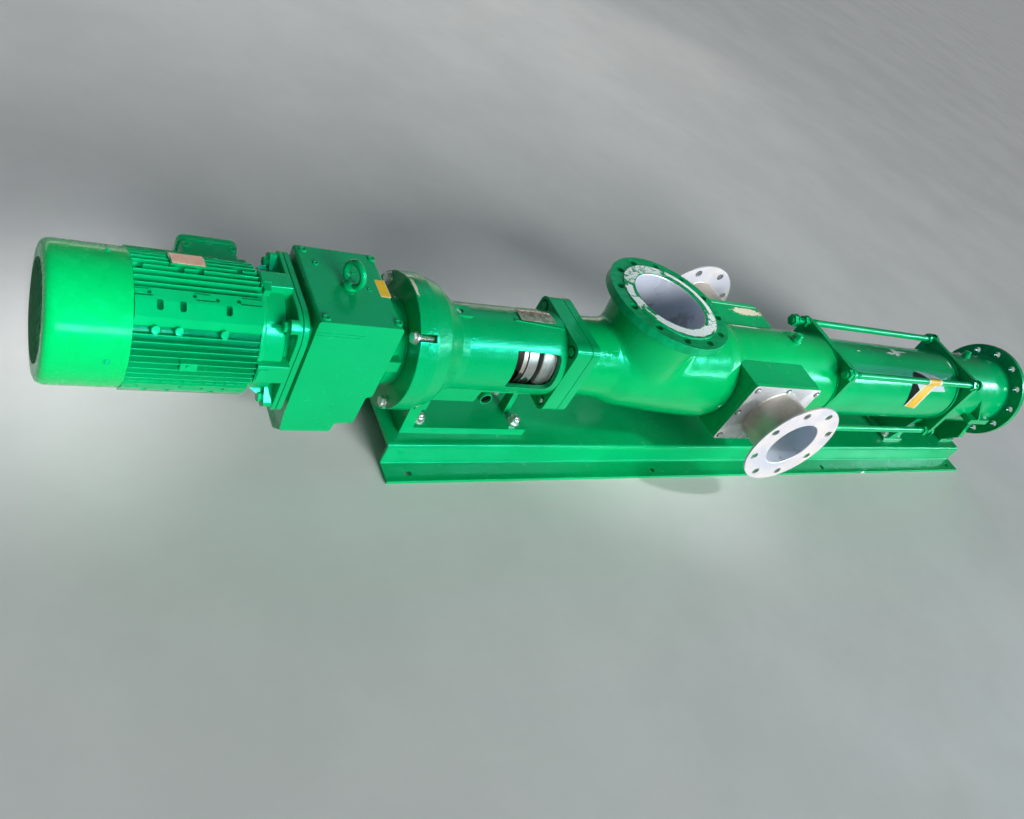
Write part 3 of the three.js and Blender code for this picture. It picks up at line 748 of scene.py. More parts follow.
def motor_fins():
    """Straight fins along the motor, one every six degrees, left out at the foot bands and terminal box."""
    start, end = COWL_X1 - 0.5, MOTOR_X1 - 0.5
    stretches = fin_stretches(start, end)
    root = MOTOR_CORE_R - 2
    fins = []
    for degrees in range(0, 360, 6):
        if any(-12 < degrees - middle < 24 for middle in QUARTERS) or 160 < degrees < 200:
            continue
        near_band = any(-20 < degrees - middle < 28 for middle in QUARTERS)
        height = FIN_R - (1.5 if near_band else 0) - (2.5 if 240 < degrees < 300 else 0)
        for x0, x1 in stretches.get(degrees, [(start, end)]):
            fin = [(-1.9, root), (1.9, root), (1.15, height, 0.9), (-1.15, height, 0.9)]
            fins.append(outward(prism(fin, x0, x1, steps=2), degrees))
    piece("motor_fins", heap(fins), fin_green, sharp=60)


def motor_frame():
    core = annulus(COWL_X1 - 12, MOTOR_X1, 0, MOTOR_CORE_R)
    # Painted shade: the core between the fins is painted half as bright, standing in for the shade in the
    # gaps.
    shaded = paint("green_painted_shade_between_fins", cast=0.35, seed=3.0, dust=0.1, strokes=0.0, gloss=0.25,
                   fresh=(0, 0.20, 0.065, 1), deep=(0, 0.15, 0.05, 1))
    skin("motor_frame", "core", core, shaded)
    motor_fins()
    piece("motor_foot_bands", heap([foot_band(middle) for middle in QUARTERS]), fin_green, bevel=0.8)
    pads = [outward(block(-1144, -1114, -9, 9, 110, 129.5, 2), 4),
            outward(rod(129, 132, 3.4, "Z", (-1131, 2)), 4),
            outward(block(-1004, -990, -12, 12, 112, 130, 3), 80)]
    piece("motor_pads", heap(pads), fin_green, bevel=1.2)


def curved_sheet(x0, x1, degrees0, degrees1, radius, thick, corner=0.0):
    """A thin sheet bent round the pump axis, with rounded corners when asked."""
    arc0, arc1 = (math.radians(d) * radius for d in (degrees0, degrees1))
    return bent(rectangle(x0, x1, arc0, arc1, corner), radius, thick)


def bent(outline, radius, thick, cell=6.0):
    """An outline in x and arc length, cut into strips and bent round the pump axis."""
    form = prism(outline, 0, thick, "Z", steps=3)
    arcs = [v.co.y for v in form.verts]
    strips = int((max(arcs) - min(arcs)) / cell)
    for i in range(1, strips + 1):
        level = min(arcs) + (max(arcs) - min(arcs)) * i / (strips + 1)
        bmesh.ops.bisect_plane(form, geom=form.verts[:] + form.edges[:] + form.faces[:],
                               plane_co=(0, level, 0), plane_no=(0, 1, 0))
    for vert in form.verts:
        x, arc, out = vert.co
        y, z = polar(radius + out, math.degrees(arc / radius))
        vert.co = (x, y, z)
    return closed(form)


def pins(places, angles, radius, profile):
    """Small round pins that hold a nameplate at its corners."""
    return [on_round(lathe(profile, 12), x, radius, degrees) for x in places for degrees in angles]


def motor_plate():
    """The nameplate on the motor: bare metal without any marking, held by four pins. Its salmon colour is
    bare metal tinted with a painted reflection of the warm floor.
    """
    # Painted reflection: the metal is tinted salmon, as if the warm floor shows in it.
    metal = plain_mix("nameplate_metal_painted_reflection", (0.78, 0.46, 0.35, 1), (0.86, 0.56, 0.44, 1), 30, 0.38, 0.25)
    plate = curved_sheet(-1160, -1102, 95.5, 114, 128.2, 1.0, corner=2)
    piece("motor_nameplate_seat", curved_sheet(-1163, -1099, 94.5, 115, 112, 15.9), fin_green)
    held = pins((-1156, -1106), (97.5, 112), 129, [(0, 0), (0, 1.7), (0.8, 1.2), (1.0, 0)])
    piece("motor_nameplate", heap([plate, *held]), metal, slot="bare_steel")


def drive_end_shield():
    drum = lathe([
        (MOTOR_X1, 60), (MOTOR_X1, 118, 2), (MOTOR_X1 + 7, 118, 3), (MOTOR_X1 + 10, 116, 3), (-962, 116, 6),
        (-955, 103, 5), (SHIELD_X1, 102), (SHIELD_X1, 60),
    ], 128)
    pad = [(-25, 92), (25, 92), (22, 128, 4), (-22, 128, 4)]
    sides = (0, 90, 180, 270)
    added = [outward(prism(pad, MOTOR_X1 + 1, SHIELD_X1), d) for d in sides]
    added += [outward(block(MOTOR_X1 + 3, MOTOR_X1 + 22, -14, 14, 110, 130.5, 3), d) for d in sides]
    root, tip = LUG_R - 6, LUG_R + 13
    for d in QUARTERS:
        arm = [(-15, 90), (15, 90), (14, root), (14, tip, 13), (-14, tip, 13), (-14, root)]
        added.append(outward(prism(arm, -964, SHIELD_X1, steps=8), d))
        web = prism([(-995, 112), (-964, 112), (-964, root, 3), (-972, LUG_R - 10, 6)], -3, 3, "Y")
        added.append(outward(web, d))
    skin("motor_drive_end_shield", "cast", fused(drum, added), cast_green, bevel=1.8, segments=3)
    heads = []
    for i, d in enumerate(QUARTERS):
        y, z = polar(root, d)
        heads.append(bolt((-964, y, z), (-1, 0, 0), 12, spin=17 * i))
        heads.append(bolt((ADAPTER_X1, y * 0.97, z * 0.97), (1, 0, 0), 6, washer=False, spin=9 * i))
    piece("motor_flange_bolts", heap(heads), green_zinc)


def terminal_box():
    """The cast box behind the motor, with two cable entries below and round corners for the lid screws."""
    x0, x1, half = -1112, -1000, 60
    body = prism(rectangle(x0, x1, -half, half, 14), 100, 176, "Y", steps=6)
    form = cut(body, [rod(COWL_X1, MOTOR_X1, FIN_R + 0.6), block(MOTOR_X1, SHIELD_X1, 90, 128.6, -80, 80)])
    entries = [(-1082, 150), (-1032, 150)]
    glands = [rod(-half - 9, -half + 1, 15, "Z", entry, 32) for entry in entries]
    cap = [(-half - 15, 0), (-half - 15, 11, 1), (-half - 9, 13, 1), (-half - 9, 0)]
    caps = [lathe(cap, 6, "Z", entry) for entry in entries]
    skin("motor_terminal_box", "cast", form, cast_green, bevel=1.6)
    piece("motor_cable_entries", heap(glands + caps), cast_green, bevel=0.6)
    corner = [(half - 2, 0), (half - 2, 10), (half + 2.5, 9, 1.5), (half + 2.5, 4.5, 1), (half - 0.5, 4, 0.5),
              (half - 0.5, 0)]
    corners = [lathe(corner, 28, "Z", (x, 163)) for x in (x0 + 12, x1 - 12)]
    piece("motor_terminal_box_corners", heap(corners), cast_green)
    lid = prism(rectangle(x0 - 3, x1 + 3, -half - 3, half + 3, 16), 176.4, 190, "Y", steps=6)
    inset = prism(rectangle(x0 + 14, x1 - 14, -half + 14, half - 14, 10), 188.6, 195, "Y")
    skin("motor_terminal_lid", "cast", cut(lid, [inset]), cast_green, bevel=2.4, segments=3)
    head = [(-1.6, 0), (-1.6, 4.4), (-0.4, 3.8, 1), (0, 2.4), (0, 0)]
    fittings("motor_lid_screws", [aimed(lathe(head, 20), (x, 190, z), (0, 1, 0))
                                  for x in (x0 + 7, x1 - 7) for z in (-half + 7, half - 7)])


# Gearbox.


def mounting_plates():
    """Two thin square plates between motor and gearbox, each with two wide round corners."""
    half = PLATE_HALF
    outline = [(-half, -half, 18), (half, -half, 60), (half, half, 18), (-half, half, 60)]
    look = paint("green_flange_plates", cast=0.15, seed=9.0, dust=0.3, strokes=0.2, flecks=0.5)
    for node, x0, x1 in (("motor_mounting_plate", SHIELD_X1, PLATE_X1 - 0.6),
                         ("gearbox_adapter_plate", PLATE_X1 + 0.2, ADAPTER_X1)):
        skin(node, "edged", prism(outline, x0, x1, steps=8), look, bevel=1.6)


def gearbox_plug(x, y, radius, rise):
    """A round plug in the gearbox lid with a hollow in its head."""
    top = GEAR_TOP + rise
    profile = [(GEAR_TOP - 1, 0), (GEAR_TOP - 1, radius), (top, radius - 1, 1.2), (top, radius * 0.5, 0.8),
               (top - 1.4, radius * 0.42), (top - 1.4, 0)]
    return lathe(profile, 32, "Z", (x, y))


def gearbox_housing():
    side = [
        (GEAR_X0, GEAR_TOP, 7), (GEAR_X1, GEAR_TOP, 9), (GEAR_X1, -63, 8), (-755, -66, 6), (-757, -143, 9),
        (-797, -147, 6), (-802, -172, 7), (-910, -172, 6), (-915, -125, 30),
    ]
    body = prism(side, -GEAR_HALF, GEAR_HALF, "Y", steps=5)
    belly = prism([(-GEAR_HALF, -160, 0), (-GEAR_HALF, -170, 8), (-80, -200, 14), (80, -200, 14),
                   (GEAR_HALF, -170, 8), (GEAR_HALF, -160, 0)], -910, -802)
    neck = prism(rectangle(-100, 100, -100, 100, 12), ADAPTER_X1 + 0.2, -900)
    look = paint("green_gearbox", cast=0.10, seed=10.0, dust=0.2, strokes=0.35, flecks=0.8, roughness=0.20,
                 gloss=0.42)
    skin("gearbox_housing", "cast", fused(body, [belly, neck]), look, bevel=3.2, segments=3)
    plugs = [(-901, 101, 9, 3.5), (-752, 101, 9, 3.5), (-902, -100, 9, 3.5), (-752, -96, 9, 3.5),
             (-884, 62, 6.5, 2.5), (-808, 46, 5, 1.5), (-786, -2, 5, 2)]
    details = [gearbox_plug(*plug) for plug in plugs]
    for side_sign in (-1, 1):
        y0, y1 = sorted((side_sign * (GEAR_HALF - 2), side_sign * (GEAR_HALF + 1.3)))
        details.append(block(GEAR_X0 + 4, -818, y0, y1, 101.5, 104.0, 1))
        details.append(block(GEAR_X0 + 4, -824, y0, y1, 95.5, 97.5, 1))
    piece("gearbox_plugs_and_seams", heap(details), look, bevel=0.5)


def eye_bolt():
    """A lifting eye on the gearbox lid, turned as in the photo."""
    turn = math.radians(-67)
    ring_r, centre_z = 24, GEAR_TOP + 31
    eye = []
    for i in range(48):
        angle = 2 * math.pi * i / 48
        flat = ring_r * math.cos(angle)
        height = centre_z + ring_r * math.sin(angle)
        eye.append(Vector((EYE_X + flat * math.cos(turn), flat * math.sin(turn), height)))
    collar = lathe([(GEAR_TOP, 0), (GEAR_TOP, 17, 2), (GEAR_TOP + 7, 17, 3), (GEAR_TOP + 11, 9, 3),
                    (GEAR_TOP + 15, 7), (GEAR_TOP + 15, 0)], 40, "Z", (EYE_X, 0))
    skin("gearbox_eye_bolt", "forged", heap([sweep(eye, 7, 16, endless=True), collar]), cast_green)


def yellow_label():
    """A yellow label with a pale rim on the gearbox lid. It carries nothing."""
    look = plain_mix("label_yellow", (1.0, 0.54, 0.0, 1), (1.0, 0.64, 0.0, 1), 20, 0.6, relief=0.02)
    rim = plain_mix("label_rim", (0.80, 0.74, 0.45, 1), (0.88, 0.83, 0.56, 1), 20, 0.4, relief=0.02)
    under = block(-766, -743, -20, 33, GEAR_TOP - 0.4, GEAR_TOP + 0.35, 2)
    piece("gearbox_label_rim", under, rim, slot=None)
    over = block(-764.5, -744.5, -18.5, 31.5, GEAR_TOP, GEAR_TOP + 0.6, 1.5)
    piece("gearbox_label", over, look, slot=None)


def output_bell():
    """The round neck of the gearbox, with a lug on each side."""
    bell = lathe([
        (GEAR_X1 - 6, 0), (GEAR_X1 - 6, 108, 3), (GEAR_X1 + 4, 108, 5), (GEAR_X1 + 14, 101, 8),
        (OUT_FLANGE_X0 - 5, 95, 2), (OUT_FLANGE_X0 - 4, 99, 1), (OUT_FLANGE_X0, 99), (OUT_FLANGE_X0, 0),
    ], 128)
    lugs = [block(GEAR_X1 - 3, -714, *sorted((side * 80, side * 112.6)), 12, 40, 2) for side in (-1, 1)]
    skin("gearbox_output_bell", "cast", fused(bell, lugs), cast_green, bevel=1.2)


def output_flange():
    """The gearbox flange: four slots open to its rim, with the bolts that hold the lantern."""
    x0, x1 = OUT_FLANGE_X0, OUT_FLANGE_X1
    disc = lathe([(x0, 46), (x0, OUT_FLANGE_R, 2.5), (x1, OUT_FLANGE_R, 0.3), (x1, 46)], 144)
    slots = []
    for d in QUARTERS:
        opening = [(-8, OUT_BOLT_R, 0), (8, OUT_BOLT_R, 0), (8, 170), (-8, 170)]
        slots.append(outward(prism(opening, x0 - 5, x1 + 5), d))
        slots.append(rod(x0 - 5, x1 + 5, 8, "X", polar(OUT_BOLT_R, d), 32))
    # Painted reflection: a pale cream streak along the top of the rim stands in for the warm glint seen
    # there.
    painted_rim_reflection = [((-690, 12, 150), (4, 42, 4))]
    look = paint("green_output_flange", cast=0.4, seed=11.0, dust=0.3, strokes=0.2, pale=painted_rim_reflection)
    skin("gearbox_output_flange", "cast", cut(disc, slots), look, bevel=0.5)
    heads, shanks = [], []
    for i, d in enumerate(QUARTERS):
        y, z = polar(OUT_BOLT_R, d)
        heads.append(bolt((x0, y, z), (-1, 0, 0), 14, spin=13 * i))
        shanks.append(aimed(threaded(0, 44, 6.6, 1.8), (x0 - 1, y, z), (1, 0, 0)))
    fittings("gearbox_flange_bolts", heads + shanks)


# Lantern between gearbox and pump. Its outside is a profile along the pump, its window an outline in x and z.

LANTERN_OUTSIDE = [
    (-652, 150, 3), (-638, 146, 14), (-615, 139, 20), (-589, 119, 26), (-566, 102, 20), (-545, 98.5, 8),
    (-417, 100, 2), (-296, 103, 3), (LANTERN_X1 + 0.2, 103.5, 0.8),
]
WINDOW = [(-419, -28, 3), (-297, -28, 24), (-297, 66, 12), (-419, 66, 3)]


def lantern_windows():
    return [prism(WINDOW, low, high, "Y", steps=8) for low, high in ((-140, -40), (40, 140))]


def lantern():
    """The bell between gearbox and pump, with two windows, four bolt notches and a raised pad on top."""
    shell = lathe([(OUT_FLANGE_X1, 115), (OUT_FLANGE_X1, 150, 0.3), *LANTERN_OUTSIDE, (LANTERN_X1 + 0.2, 90),
                   (-560, 86, 20), (-600, 105, 20), (-640, 115, 10)], 160)
    tools = lantern_windows()
    for d in QUARTERS:
        notch = [(-8, OUT_BOLT_R - 10, 4), (8, OUT_BOLT_R - 10, 4), (8, 170), (-8, 170)]
        tools.append(outward(prism(notch, OUT_FLANGE_X1 - 5, OUT_FLANGE_X1 + 18), d))
    tools.append(rod(88, 140, 10, "Z", (-563, 0), 32))
    raised = [outward(block(-596, -530, -17, 17, 85, 103, 10), 90)]
    look = paint("green_lantern", cast=0.4, seed=12.0, dust=0.3, strokes=0.4, pebble=0.9)
    skin("lantern_housing", "cast", cut(fused(shell, raised), tools), look, bevel=0.8, segments=3)
    # Painted shade: a thin black sheet lines the lantern inside, between its windows, where shade falls.
    lining = annulus(-420, -300, 89.2, 89.9)
    piece("lantern_inside_painted_shade", cut(lining, lantern_windows()), black_painted_shade, slot=None)
    fittings("lantern_top_bolt", [bolt((-563, 0, 93), (0, 0, 1), 10, washer=False)])
    ledge = [Vector((x, *polar(103.4, 82 - 6 * (x + 420) / 130))) for x in range(-420, -284, 5)]
    piece("lantern_label_ledge", sweep(ledge, 1.8, 8), look)


def lantern_plate():
    """The bare nameplate on top of the lantern, stained, with a raised edge along both sides."""
    metal = plain_mix("plate_metal", (0.30, 0.19, 0.15, 1), (0.52, 0.44, 0.40, 1), 45, 0.3, 0.5,
                      spots=(0.20, 0.07, 0.05, 1))
    plate = curved_sheet(-402, -304, 84, 105.5, 102.6, 1.2, corner=3)
    edges = [curved_sheet(-402, -304, d, d + 0.8, 103.2, 1.4) for d in (84, 104.6)]
    held = pins((-396, -310), (86.5, 103), 103.5, [(0, 0), (0, 2.3), (1.2, 1.6, 0.5), (1.4, 0)])
    piece("lantern_nameplate", heap([plate, *edges, *held]), metal, slot="bare_steel")


def studs(name, places, top, size, stud, turn):
    """Zinc studs with nuts standing on a plate, each nut turned a little further than the one before."""
    fittings(name, [bolt((x, y, top), (0, 0, 1), size, stud=stud, spin=turn * i)
                    for i, (x, y) in enumerate(places)])


def lantern_foot():
    x0, x1, half, top = -604, -250, 71, BASE_TOP + 20
    widened = [(x, radius + 0.4, *soft) for x, radius, *soft in LANTERN_OUTSIDE]
    outside = lathe([(OUT_FLANGE_X1, 0), (OUT_FLANGE_X1, 150.4), *widened, (LANTERN_X1, 0)], 96)
    skirt = [(-600, -56), (-300, -56), (-300, -63, 3), (-458, -63, 6), (-464, -96, 3), (-600, -96)]
    form = fused(block(x0, x1, -half, half, BASE_TOP, top, 3), [
        prism([(-half, top - 2), (half, top - 2), (66, -90), (-66, -90)], x0, x0 + 30),
        block(x0, x0 + 30, -82, 82, -130, -94, 2),
        prism(skirt, -82, -70, "Y"),
        prism(skirt, 70, 82, "Y"),
        prism([(-16, top - 1), (16, top - 1), (8, -90), (-8, -90)], -297, -282),
    ])
    look = paint("green_foot", cast=0.4, seed=13.0, dust=0.3, strokes=0.5, gloss=0.38)
    skin("lantern_foot", "cast", cut(form, [outside]), look, bevel=1.8, segments=3)
    studs("lantern_foot_bolts", ((-553, -45), (-279, -45), (-553, 62), (-292, 62)), top, 16, 5, 11)


def drain_spout():
    """A short open pipe under the lantern, cut to its round side."""
    spout = lathe([(-66, 13.5), (-66, 16, 0.8), (-60, 17, 1.5), (-28, 17), (-28, 13.5)], 40, "Y", SPOUT_AT)
    round_side = lathe([(-500, 0), (-500, 99.4), (-417, 100.4), (-300, 103.4), (-300, 0)], 96)
    piece("lantern_drain_spout", cut(spout, [round_side]), cast_green, "lantern_drain_nipple", bevel=0.4)
    # Painted shade: a black disc inside the spout.
    piece("lantern_drain_painted_shade", rod(-60, -50, 13.7, "Y", SPOUT_AT, 32), black_painted_shade, slot=None)


# Plates between lantern and casing, and the shaft that shows in the window.


def seal_plates():
    """Two thick square plates bolted together at their corners, with the shaft's bore through both."""
    half = SEAL_HALF
    outline = rectangle(-half, half, -half, half, 26)
    corners = [(-80, 80), (80, 80), (-80, -80), (80, -80)]
    bore = rod(-300, -200, SHAFT_BORE_R)
    recesses = [rod(LANTERN_X1, LANTERN_X1 + 9, 15, "X", (y, z), 32) for y in (-80, 80) for z in (-80, 80)]
    form = cut(prism(outline, LANTERN_X1 + 0.3, SEAL_X1 - 0.5, steps=8), recesses + [bore])
    skin("seal_plate", "edged", form, plate_green, bevel=1.4)
    bore = rod(-300, -200, SHAFT_BORE_R)
    form = cut(prism(outline, SEAL_X1 + 0.4, DRIVE_FLANGE_X1, steps=8), [bore])
    skin("casing_drive_flange", "edged", form, plate_green, bevel=1.4)
    bolts = []
    for i, (y, z) in enumerate(corners):
        bolts.append(bolt((LANTERN_X1 + 8.7, y, z), (-1, 0, 0), 13, spin=10 + 14 * i))
        bolts.append(bolt((DRIVE_FLANGE_X1, y * 1.04, z * 1.04), (1, 0, 0), 10, stud=3, spin=8 * i))
    # Chips of bare paint, except the blot on the lower bolt head near (-282, -89, -78), which is a painted
    # highlight.
    chips = [((-208, -96, 90), (5, 7, 5)), ((-206, -90, -88), (5, 6, 5)), ((-282, -89, -78), (7, 4, 6))]
    look = paint("green_seal_bolts_chips_and_glint", cast=0.3, seed=14.0, dust=0.1, strokes=0.0, chips=chips)
    piece("seal_plate_bolts", heap(bolts), look)


def painted_shade_blots():
    """Black painted shade in the lower left of each turned part that shows through the front window, where
    the window's edge shades it.
    """
    return [((-384, -80, -18), (10, 30, 24)), ((-361, -78, -33), (15, 30, 24)),
            ((-330, -74, -50), (16, 30, 24))]


def seal_housing():
    form = lathe([(-334, 36), (-334, 83, 2), (-330, 85, 1), (-303, 85, 1), (-301, 83), (-299, 86, 1),
                  (LANTERN_X1, 86), (LANTERN_X1, 36)], 128)
    steel = turned_steel("turned_seal_steel", (0.42, 0.40, 0.39, 1), 1.0, 0.7, 0.34, painted_shade_blots())
    skin("seal_housing", "turned", form, steel, "machined_steel")


def clamp_ring():
    """A ring split along its top, with the screw that closes it."""
    form = annulus(-389, -377, SHAFT_FIT_R, 82, 128, soft=1.5)
    split = [block(-395, -370, -1.2, 1.2, 20, 90), rod(-395, -370, 3.2, "X", (14, 66), 20)]
    rosy = turned_steel("turned_clamp_steel", (0.50, 0.39, 0.34, 1), 2.0, 0.5, 0.3, painted_shade_blots())
    skin("shaft_clamp_ring", "split", cut(form, split), rosy, "machined_steel", "shaft", bevel=0.5)
    screw = lathe([(-8, 0), (-8, 5), (8, 5), (8, 2.5), (4, 2.4), (4, 0)], 20, "Y", (-383, 60))
    piece("shaft_clamp_screw", screw, bright_zinc, slot="machined_steel", body="shaft")


def slinger():
    form = lathe([(-375.5, SHAFT_FIT_R), (-375.5, 60, 3), (-374, 62, 1), (-374, 83, 1), (-348, 83, 1),
                  (-342, 72, 2), (-342, SHAFT_FIT_R)], 128)
    steel = turned_steel("turned_slinger_steel", (0.42, 0.39, 0.37, 1), 1.0, 0.55, 0.3, painted_shade_blots())
    skin("shaft_slinger", "turned", form, steel, "machined_steel", "shaft")


def shaft_and_rod():
    """The stepped drive shaft, and behind it the rod that joins it to the rotor."""
    shaft = lathe([(-694, 0), (-694, 45, 1), (-600, 45, 1), (-600, 38, 1), (-400, 38, 2), (-400, 30, 1),
                   (-205.3, 30, 1), (-205.3, 0)], 96)
    steel = turned_steel("turned_shaft", seed=3.0)
    skin("drive_shaft", "turned", shaft, steel, "machined_steel", "shaft")
    joined = [(-205, 0), (-205, 40, 2), (-120, 40, 2), (-110, 22, 6), (630, 22, 6), (640, 40, 2),
              (735, 40, 2), (735, 0)]
    dull = turned_steel("dull_rod", (0.34, 0.33, 0.31, 1), 4.0, 0.5, 0.4)
    skin("coupling_rod", "turned", lathe(joined, 64), dull, "machined_steel", "shaft")


# Suction casing with its inlet and side ports. Its two skins are profiles of (x, radius, softness).

CASING_OUTSIDE = [
    (DRIVE_FLANGE_X1, 97), (-112, 102, 90), (-58, 117, 90), (86, 132, 400), (245, 142, 70), (278, 138, 30),
    (306, TUBE_R, 24), (CASING_X1, TUBE_R),
]
CASING_INSIDE = [
    (DRIVE_FLANGE_X1 - 1, 84), (-104, 90, 60), (-21, 108, 90), (250, 128, 60), (306, TUBE_BORE, 30),
    (CASING_X1 + 1, TUBE_BORE),
]
# The nozzle is a profile along Z.
NOZZLE = [(0, 118), (60, 122, 60), (130, 129, 200), (INLET_FACE - FLANGE_THICK, 136)]


def along_profile(profile, x):
    """The radius of a profile at x."""
    flat = [(p.x, p.y) for p in rounded([(profile[0][0] - 50, profile[0][1]), *profile])[1:]]
    for (x0, r0), (x1, r1) in zip(flat, flat[1:]):
        if x0 <= x <= x1 and x1 > x0:
            return r0 + (r1 - r0) * (x - x0) / (x1 - x0)
    return flat[0][1] if x < flat[0][0] else flat[-1][1]


def closed_on_axis(profile):
    return [(profile[0][0], 0), *profile, (profile[-1][0], 0)]


def melted_together(form):
    """A form skinned anew with even faces, ready to be smoothed."""
    made = as_object(form, "skin")
    melt = made.modifiers.new("melt", "REMESH")
    melt.mode, melt.voxel_size = "VOXEL", 4.5
    settle(made)
    return made


def blended_skin():
    """The casing's outside with the inlet nozzle melted smoothly into it. What lies near one of the two round
    surfaces and clear of the other is put back on it; what lies near both is smoothed."""
    body = lathe(closed_on_axis(CASING_OUTSIDE), 128)
    made = melted_together(fused(body, [lathe(closed_on_axis(NOZZLE), 128, "Z")]))
    steps, length = 400, CASING_X1 - DRIVE_FLANGE_X1
    near, clear = 3, 9
    table = [along_profile(CASING_OUTSIDE, DRIVE_FLANGE_X1 + length * i / steps) for i in range(steps + 1)]
    form = bmesh.new()
    form.from_mesh(made.data)
    weights = {}
    for vert in form.verts:
        x, y, z = vert.co
        body_r = table[min(steps, max(0, round((x - DRIVE_FLANGE_X1) / length * steps)))]
        on_body, on_nozzle = math.hypot(y, z) - body_r, 99
        if z > 0:
            nozzle_r = along_profile(NOZZLE, z)
            on_nozzle = math.hypot(x, y) - nozzle_r
        apart = max(abs(on_body), abs(on_nozzle))
        reach = 22 if x > 0 else 13
        weights[vert.index] = max(0.0, min(1.0, 1.5 - apart / reach))
        at_end = min(abs(x - DRIVE_FLANGE_X1), abs(x - CASING_X1)) < near
        if at_end or z > INLET_FACE - FLANGE_THICK - 4:
            continue
        if abs(on_body) < near and abs(on_nozzle) > clear:
            scale = body_r / math.hypot(y, z)
            vert.co = (x, y * scale, z * scale)
        elif abs(on_nozzle) < near and abs(on_body) > clear:
            scale = nozzle_r / math.hypot(x, y)
            vert.co = (x * scale, y * scale, z)
    form.to_mesh(made.data)
    form.free()
    joint = made.vertex_groups.new(name="joint")
    for index, weight in weights.items():
        if weight > 0:
            joint.add([index], weight, "REPLACE")
    soft = made.modifiers.new("soft", "SMOOTH")
    soft.factor, soft.iterations, soft.vertex_group = 0.9, 26, "joint"
    settle(made)
    return as_form(made)


def in_casing(centre):
    """Whether a face of the casing belongs to its inside."""
    x, y, z = centre
    far = math.hypot(y, z)
    if z > 60 and math.hypot(x, y) < 110:
        return True
    return far < (along_profile(CASING_OUTSIDE, x) + along_profile(CASING_INSIDE, x)) / 2


def weld_ring(along, radius, bead=3.2, centre=(0, 0), axis="X", seed=0):
    """A rippled bead of weld round a pipe."""
    count = int(radius * 2.4)
    points = []
    for i in range(count):
        angle = 2 * math.pi * i / count
        sway = 0.5 * noise.noise(Vector((i * 0.35, seed, 0)))
        u = centre[0] + radius * math.cos(angle)
        v = centre[1] + radius * math.sin(angle)
        points.append(Vector(spread(axis, along + sway, u, v)))
    return sweep(points, bead, 6, endless=True, ripple=0.10)


def paint_inside(made, inside):
    """Gives the pale inside paint to the faces of a piece whose middle is inside."""
    made.data.materials.append(inside_paint)
    for face in made.data.polygons:
        if inside((Vector(face.center) - ORIGIN) / MM):
            face.material_index = 1


def within(axis, at, reach):
    """A test for points within reach of a bore's line, which runs along an axis at the given x."""
    def test(point):
        x, y, z = point
        across = {"X": (y, z), "Y": (x - at, z), "Z": (x - at, y)}[axis]
        return math.hypot(*across) < reach
    return test


def casing_chips_and_painted_reflection():
    """Where the casing's paint is chipped, and, at 114 degrees on the tube's top, a long pale blot that is a
    painted reflection.
    """
    return [((180, *polar(127, 12)), (9, 5, 6)), ((236, *polar(132, 3)), (16, 5, 4)),
            ((262, *polar(136, -6)), (7, 5, 8)), ((298, *polar(128, -12)), (10, 5, 4)),
            # Painted reflection: the long blot at 114 degrees on the tube's top.
            ((-66, 60, 100), (6, 30, 7)), ((395, *polar(TUBE_R, 114)), (60, 9, 4)),
            ((-212, -30, 92), (3, 8, 3))]


def suction_casing():
    tools = [lathe(closed_on_axis(CASING_INSIDE), 128), rod(-10, INLET_FACE, FLANGE_BORE, "Z", segments=128),
             rod(-200, 200, PORT_BORE, "Y", (PORT_X, 0), 96)]
    look = paint("green_casing", cast=0.12, seed=15.0, dust=0.2, strokes=0.5, chips=casing_chips_and_painted_reflection(),
                 fresh=CASING_PAINTED_WARM_LIGHT_FRESH, deep=CASING_PAINTED_WARM_LIGHT_DEEP, pebble=0.5)
    made = skin("suction_casing", "welded", cut(blended_skin(), tools), look, sharp=50)
    paint_inside(made, in_casing)
    beads = [weld_ring(CASING_X1 - 2, TUBE_R + 1, 3.4, seed=2),
             weld_ring(INLET_FACE - FLANGE_THICK - 2, 137, 3.4, axis="Z", seed=3),
             weld_ring(DRIVE_FLANGE_X1 + 2, 98, 3.0, seed=4)]
    piece("casing_weld_beads", heap(beads), look)


def vent_plug():
    """A hex plug on its boss and collar, on top of the casing's tube."""
    boss = [(TUBE_R - 1.5, 0), (TUBE_R - 1.5, 17), (TUBE_R + 8, 17, 2), (TUBE_R + 8, 0)]
    collar = [(TUBE_R + 7, 0), (TUBE_R + 7, 14), (TUBE_R + 11, 14, 1), (TUBE_R + 11, 0)]
    head = [(TUBE_R + 10, 0), (TUBE_R + 10, 12), (TUBE_R + 22, 12), (TUBE_R + 24, 10.6), (TUBE_R + 24, 0)]
    forms = [lathe(profile, sides, "Z", (VENT_X, 0))
             for profile, sides in ((boss, 40), (collar, 32), (head, 6))]
    skin("casing_vent_plug", "hex", heap(forms), cast_green, bevel=0.6)


def flange_form(face, radius, thick, bore, pcd, holes, raised=0, axis="Z", side=1):
    """A pipe flange facing along the axis, or against it where side is -1; raised is the radius of its raised
    face, and pcd that of its ring of holes."""
    def at(depth):
        return side * (face - depth)
    front = [(at(0), radius, 1)]
    if raised:
        front = [(at(3), radius, 2), (at(3), raised + 0.5, 0.5), (at(0), raised, 0.5)]
    profile = [(at(thick), bore), (at(thick), radius, 1), *front, (at(0), bore + 1.5, 1), (at(2), bore)]
    low, high = sorted((at(thick + 5), at(-5)))
    drills = []
    for i in range(holes):
        angle = (i + 0.5) * 2 * math.pi / holes
        drills.append(rod(low, high, HOLE_R, axis, (pcd * math.sin(angle), pcd * math.cos(angle)), 32))
    return cut(lathe(profile, 144, axis), drills)


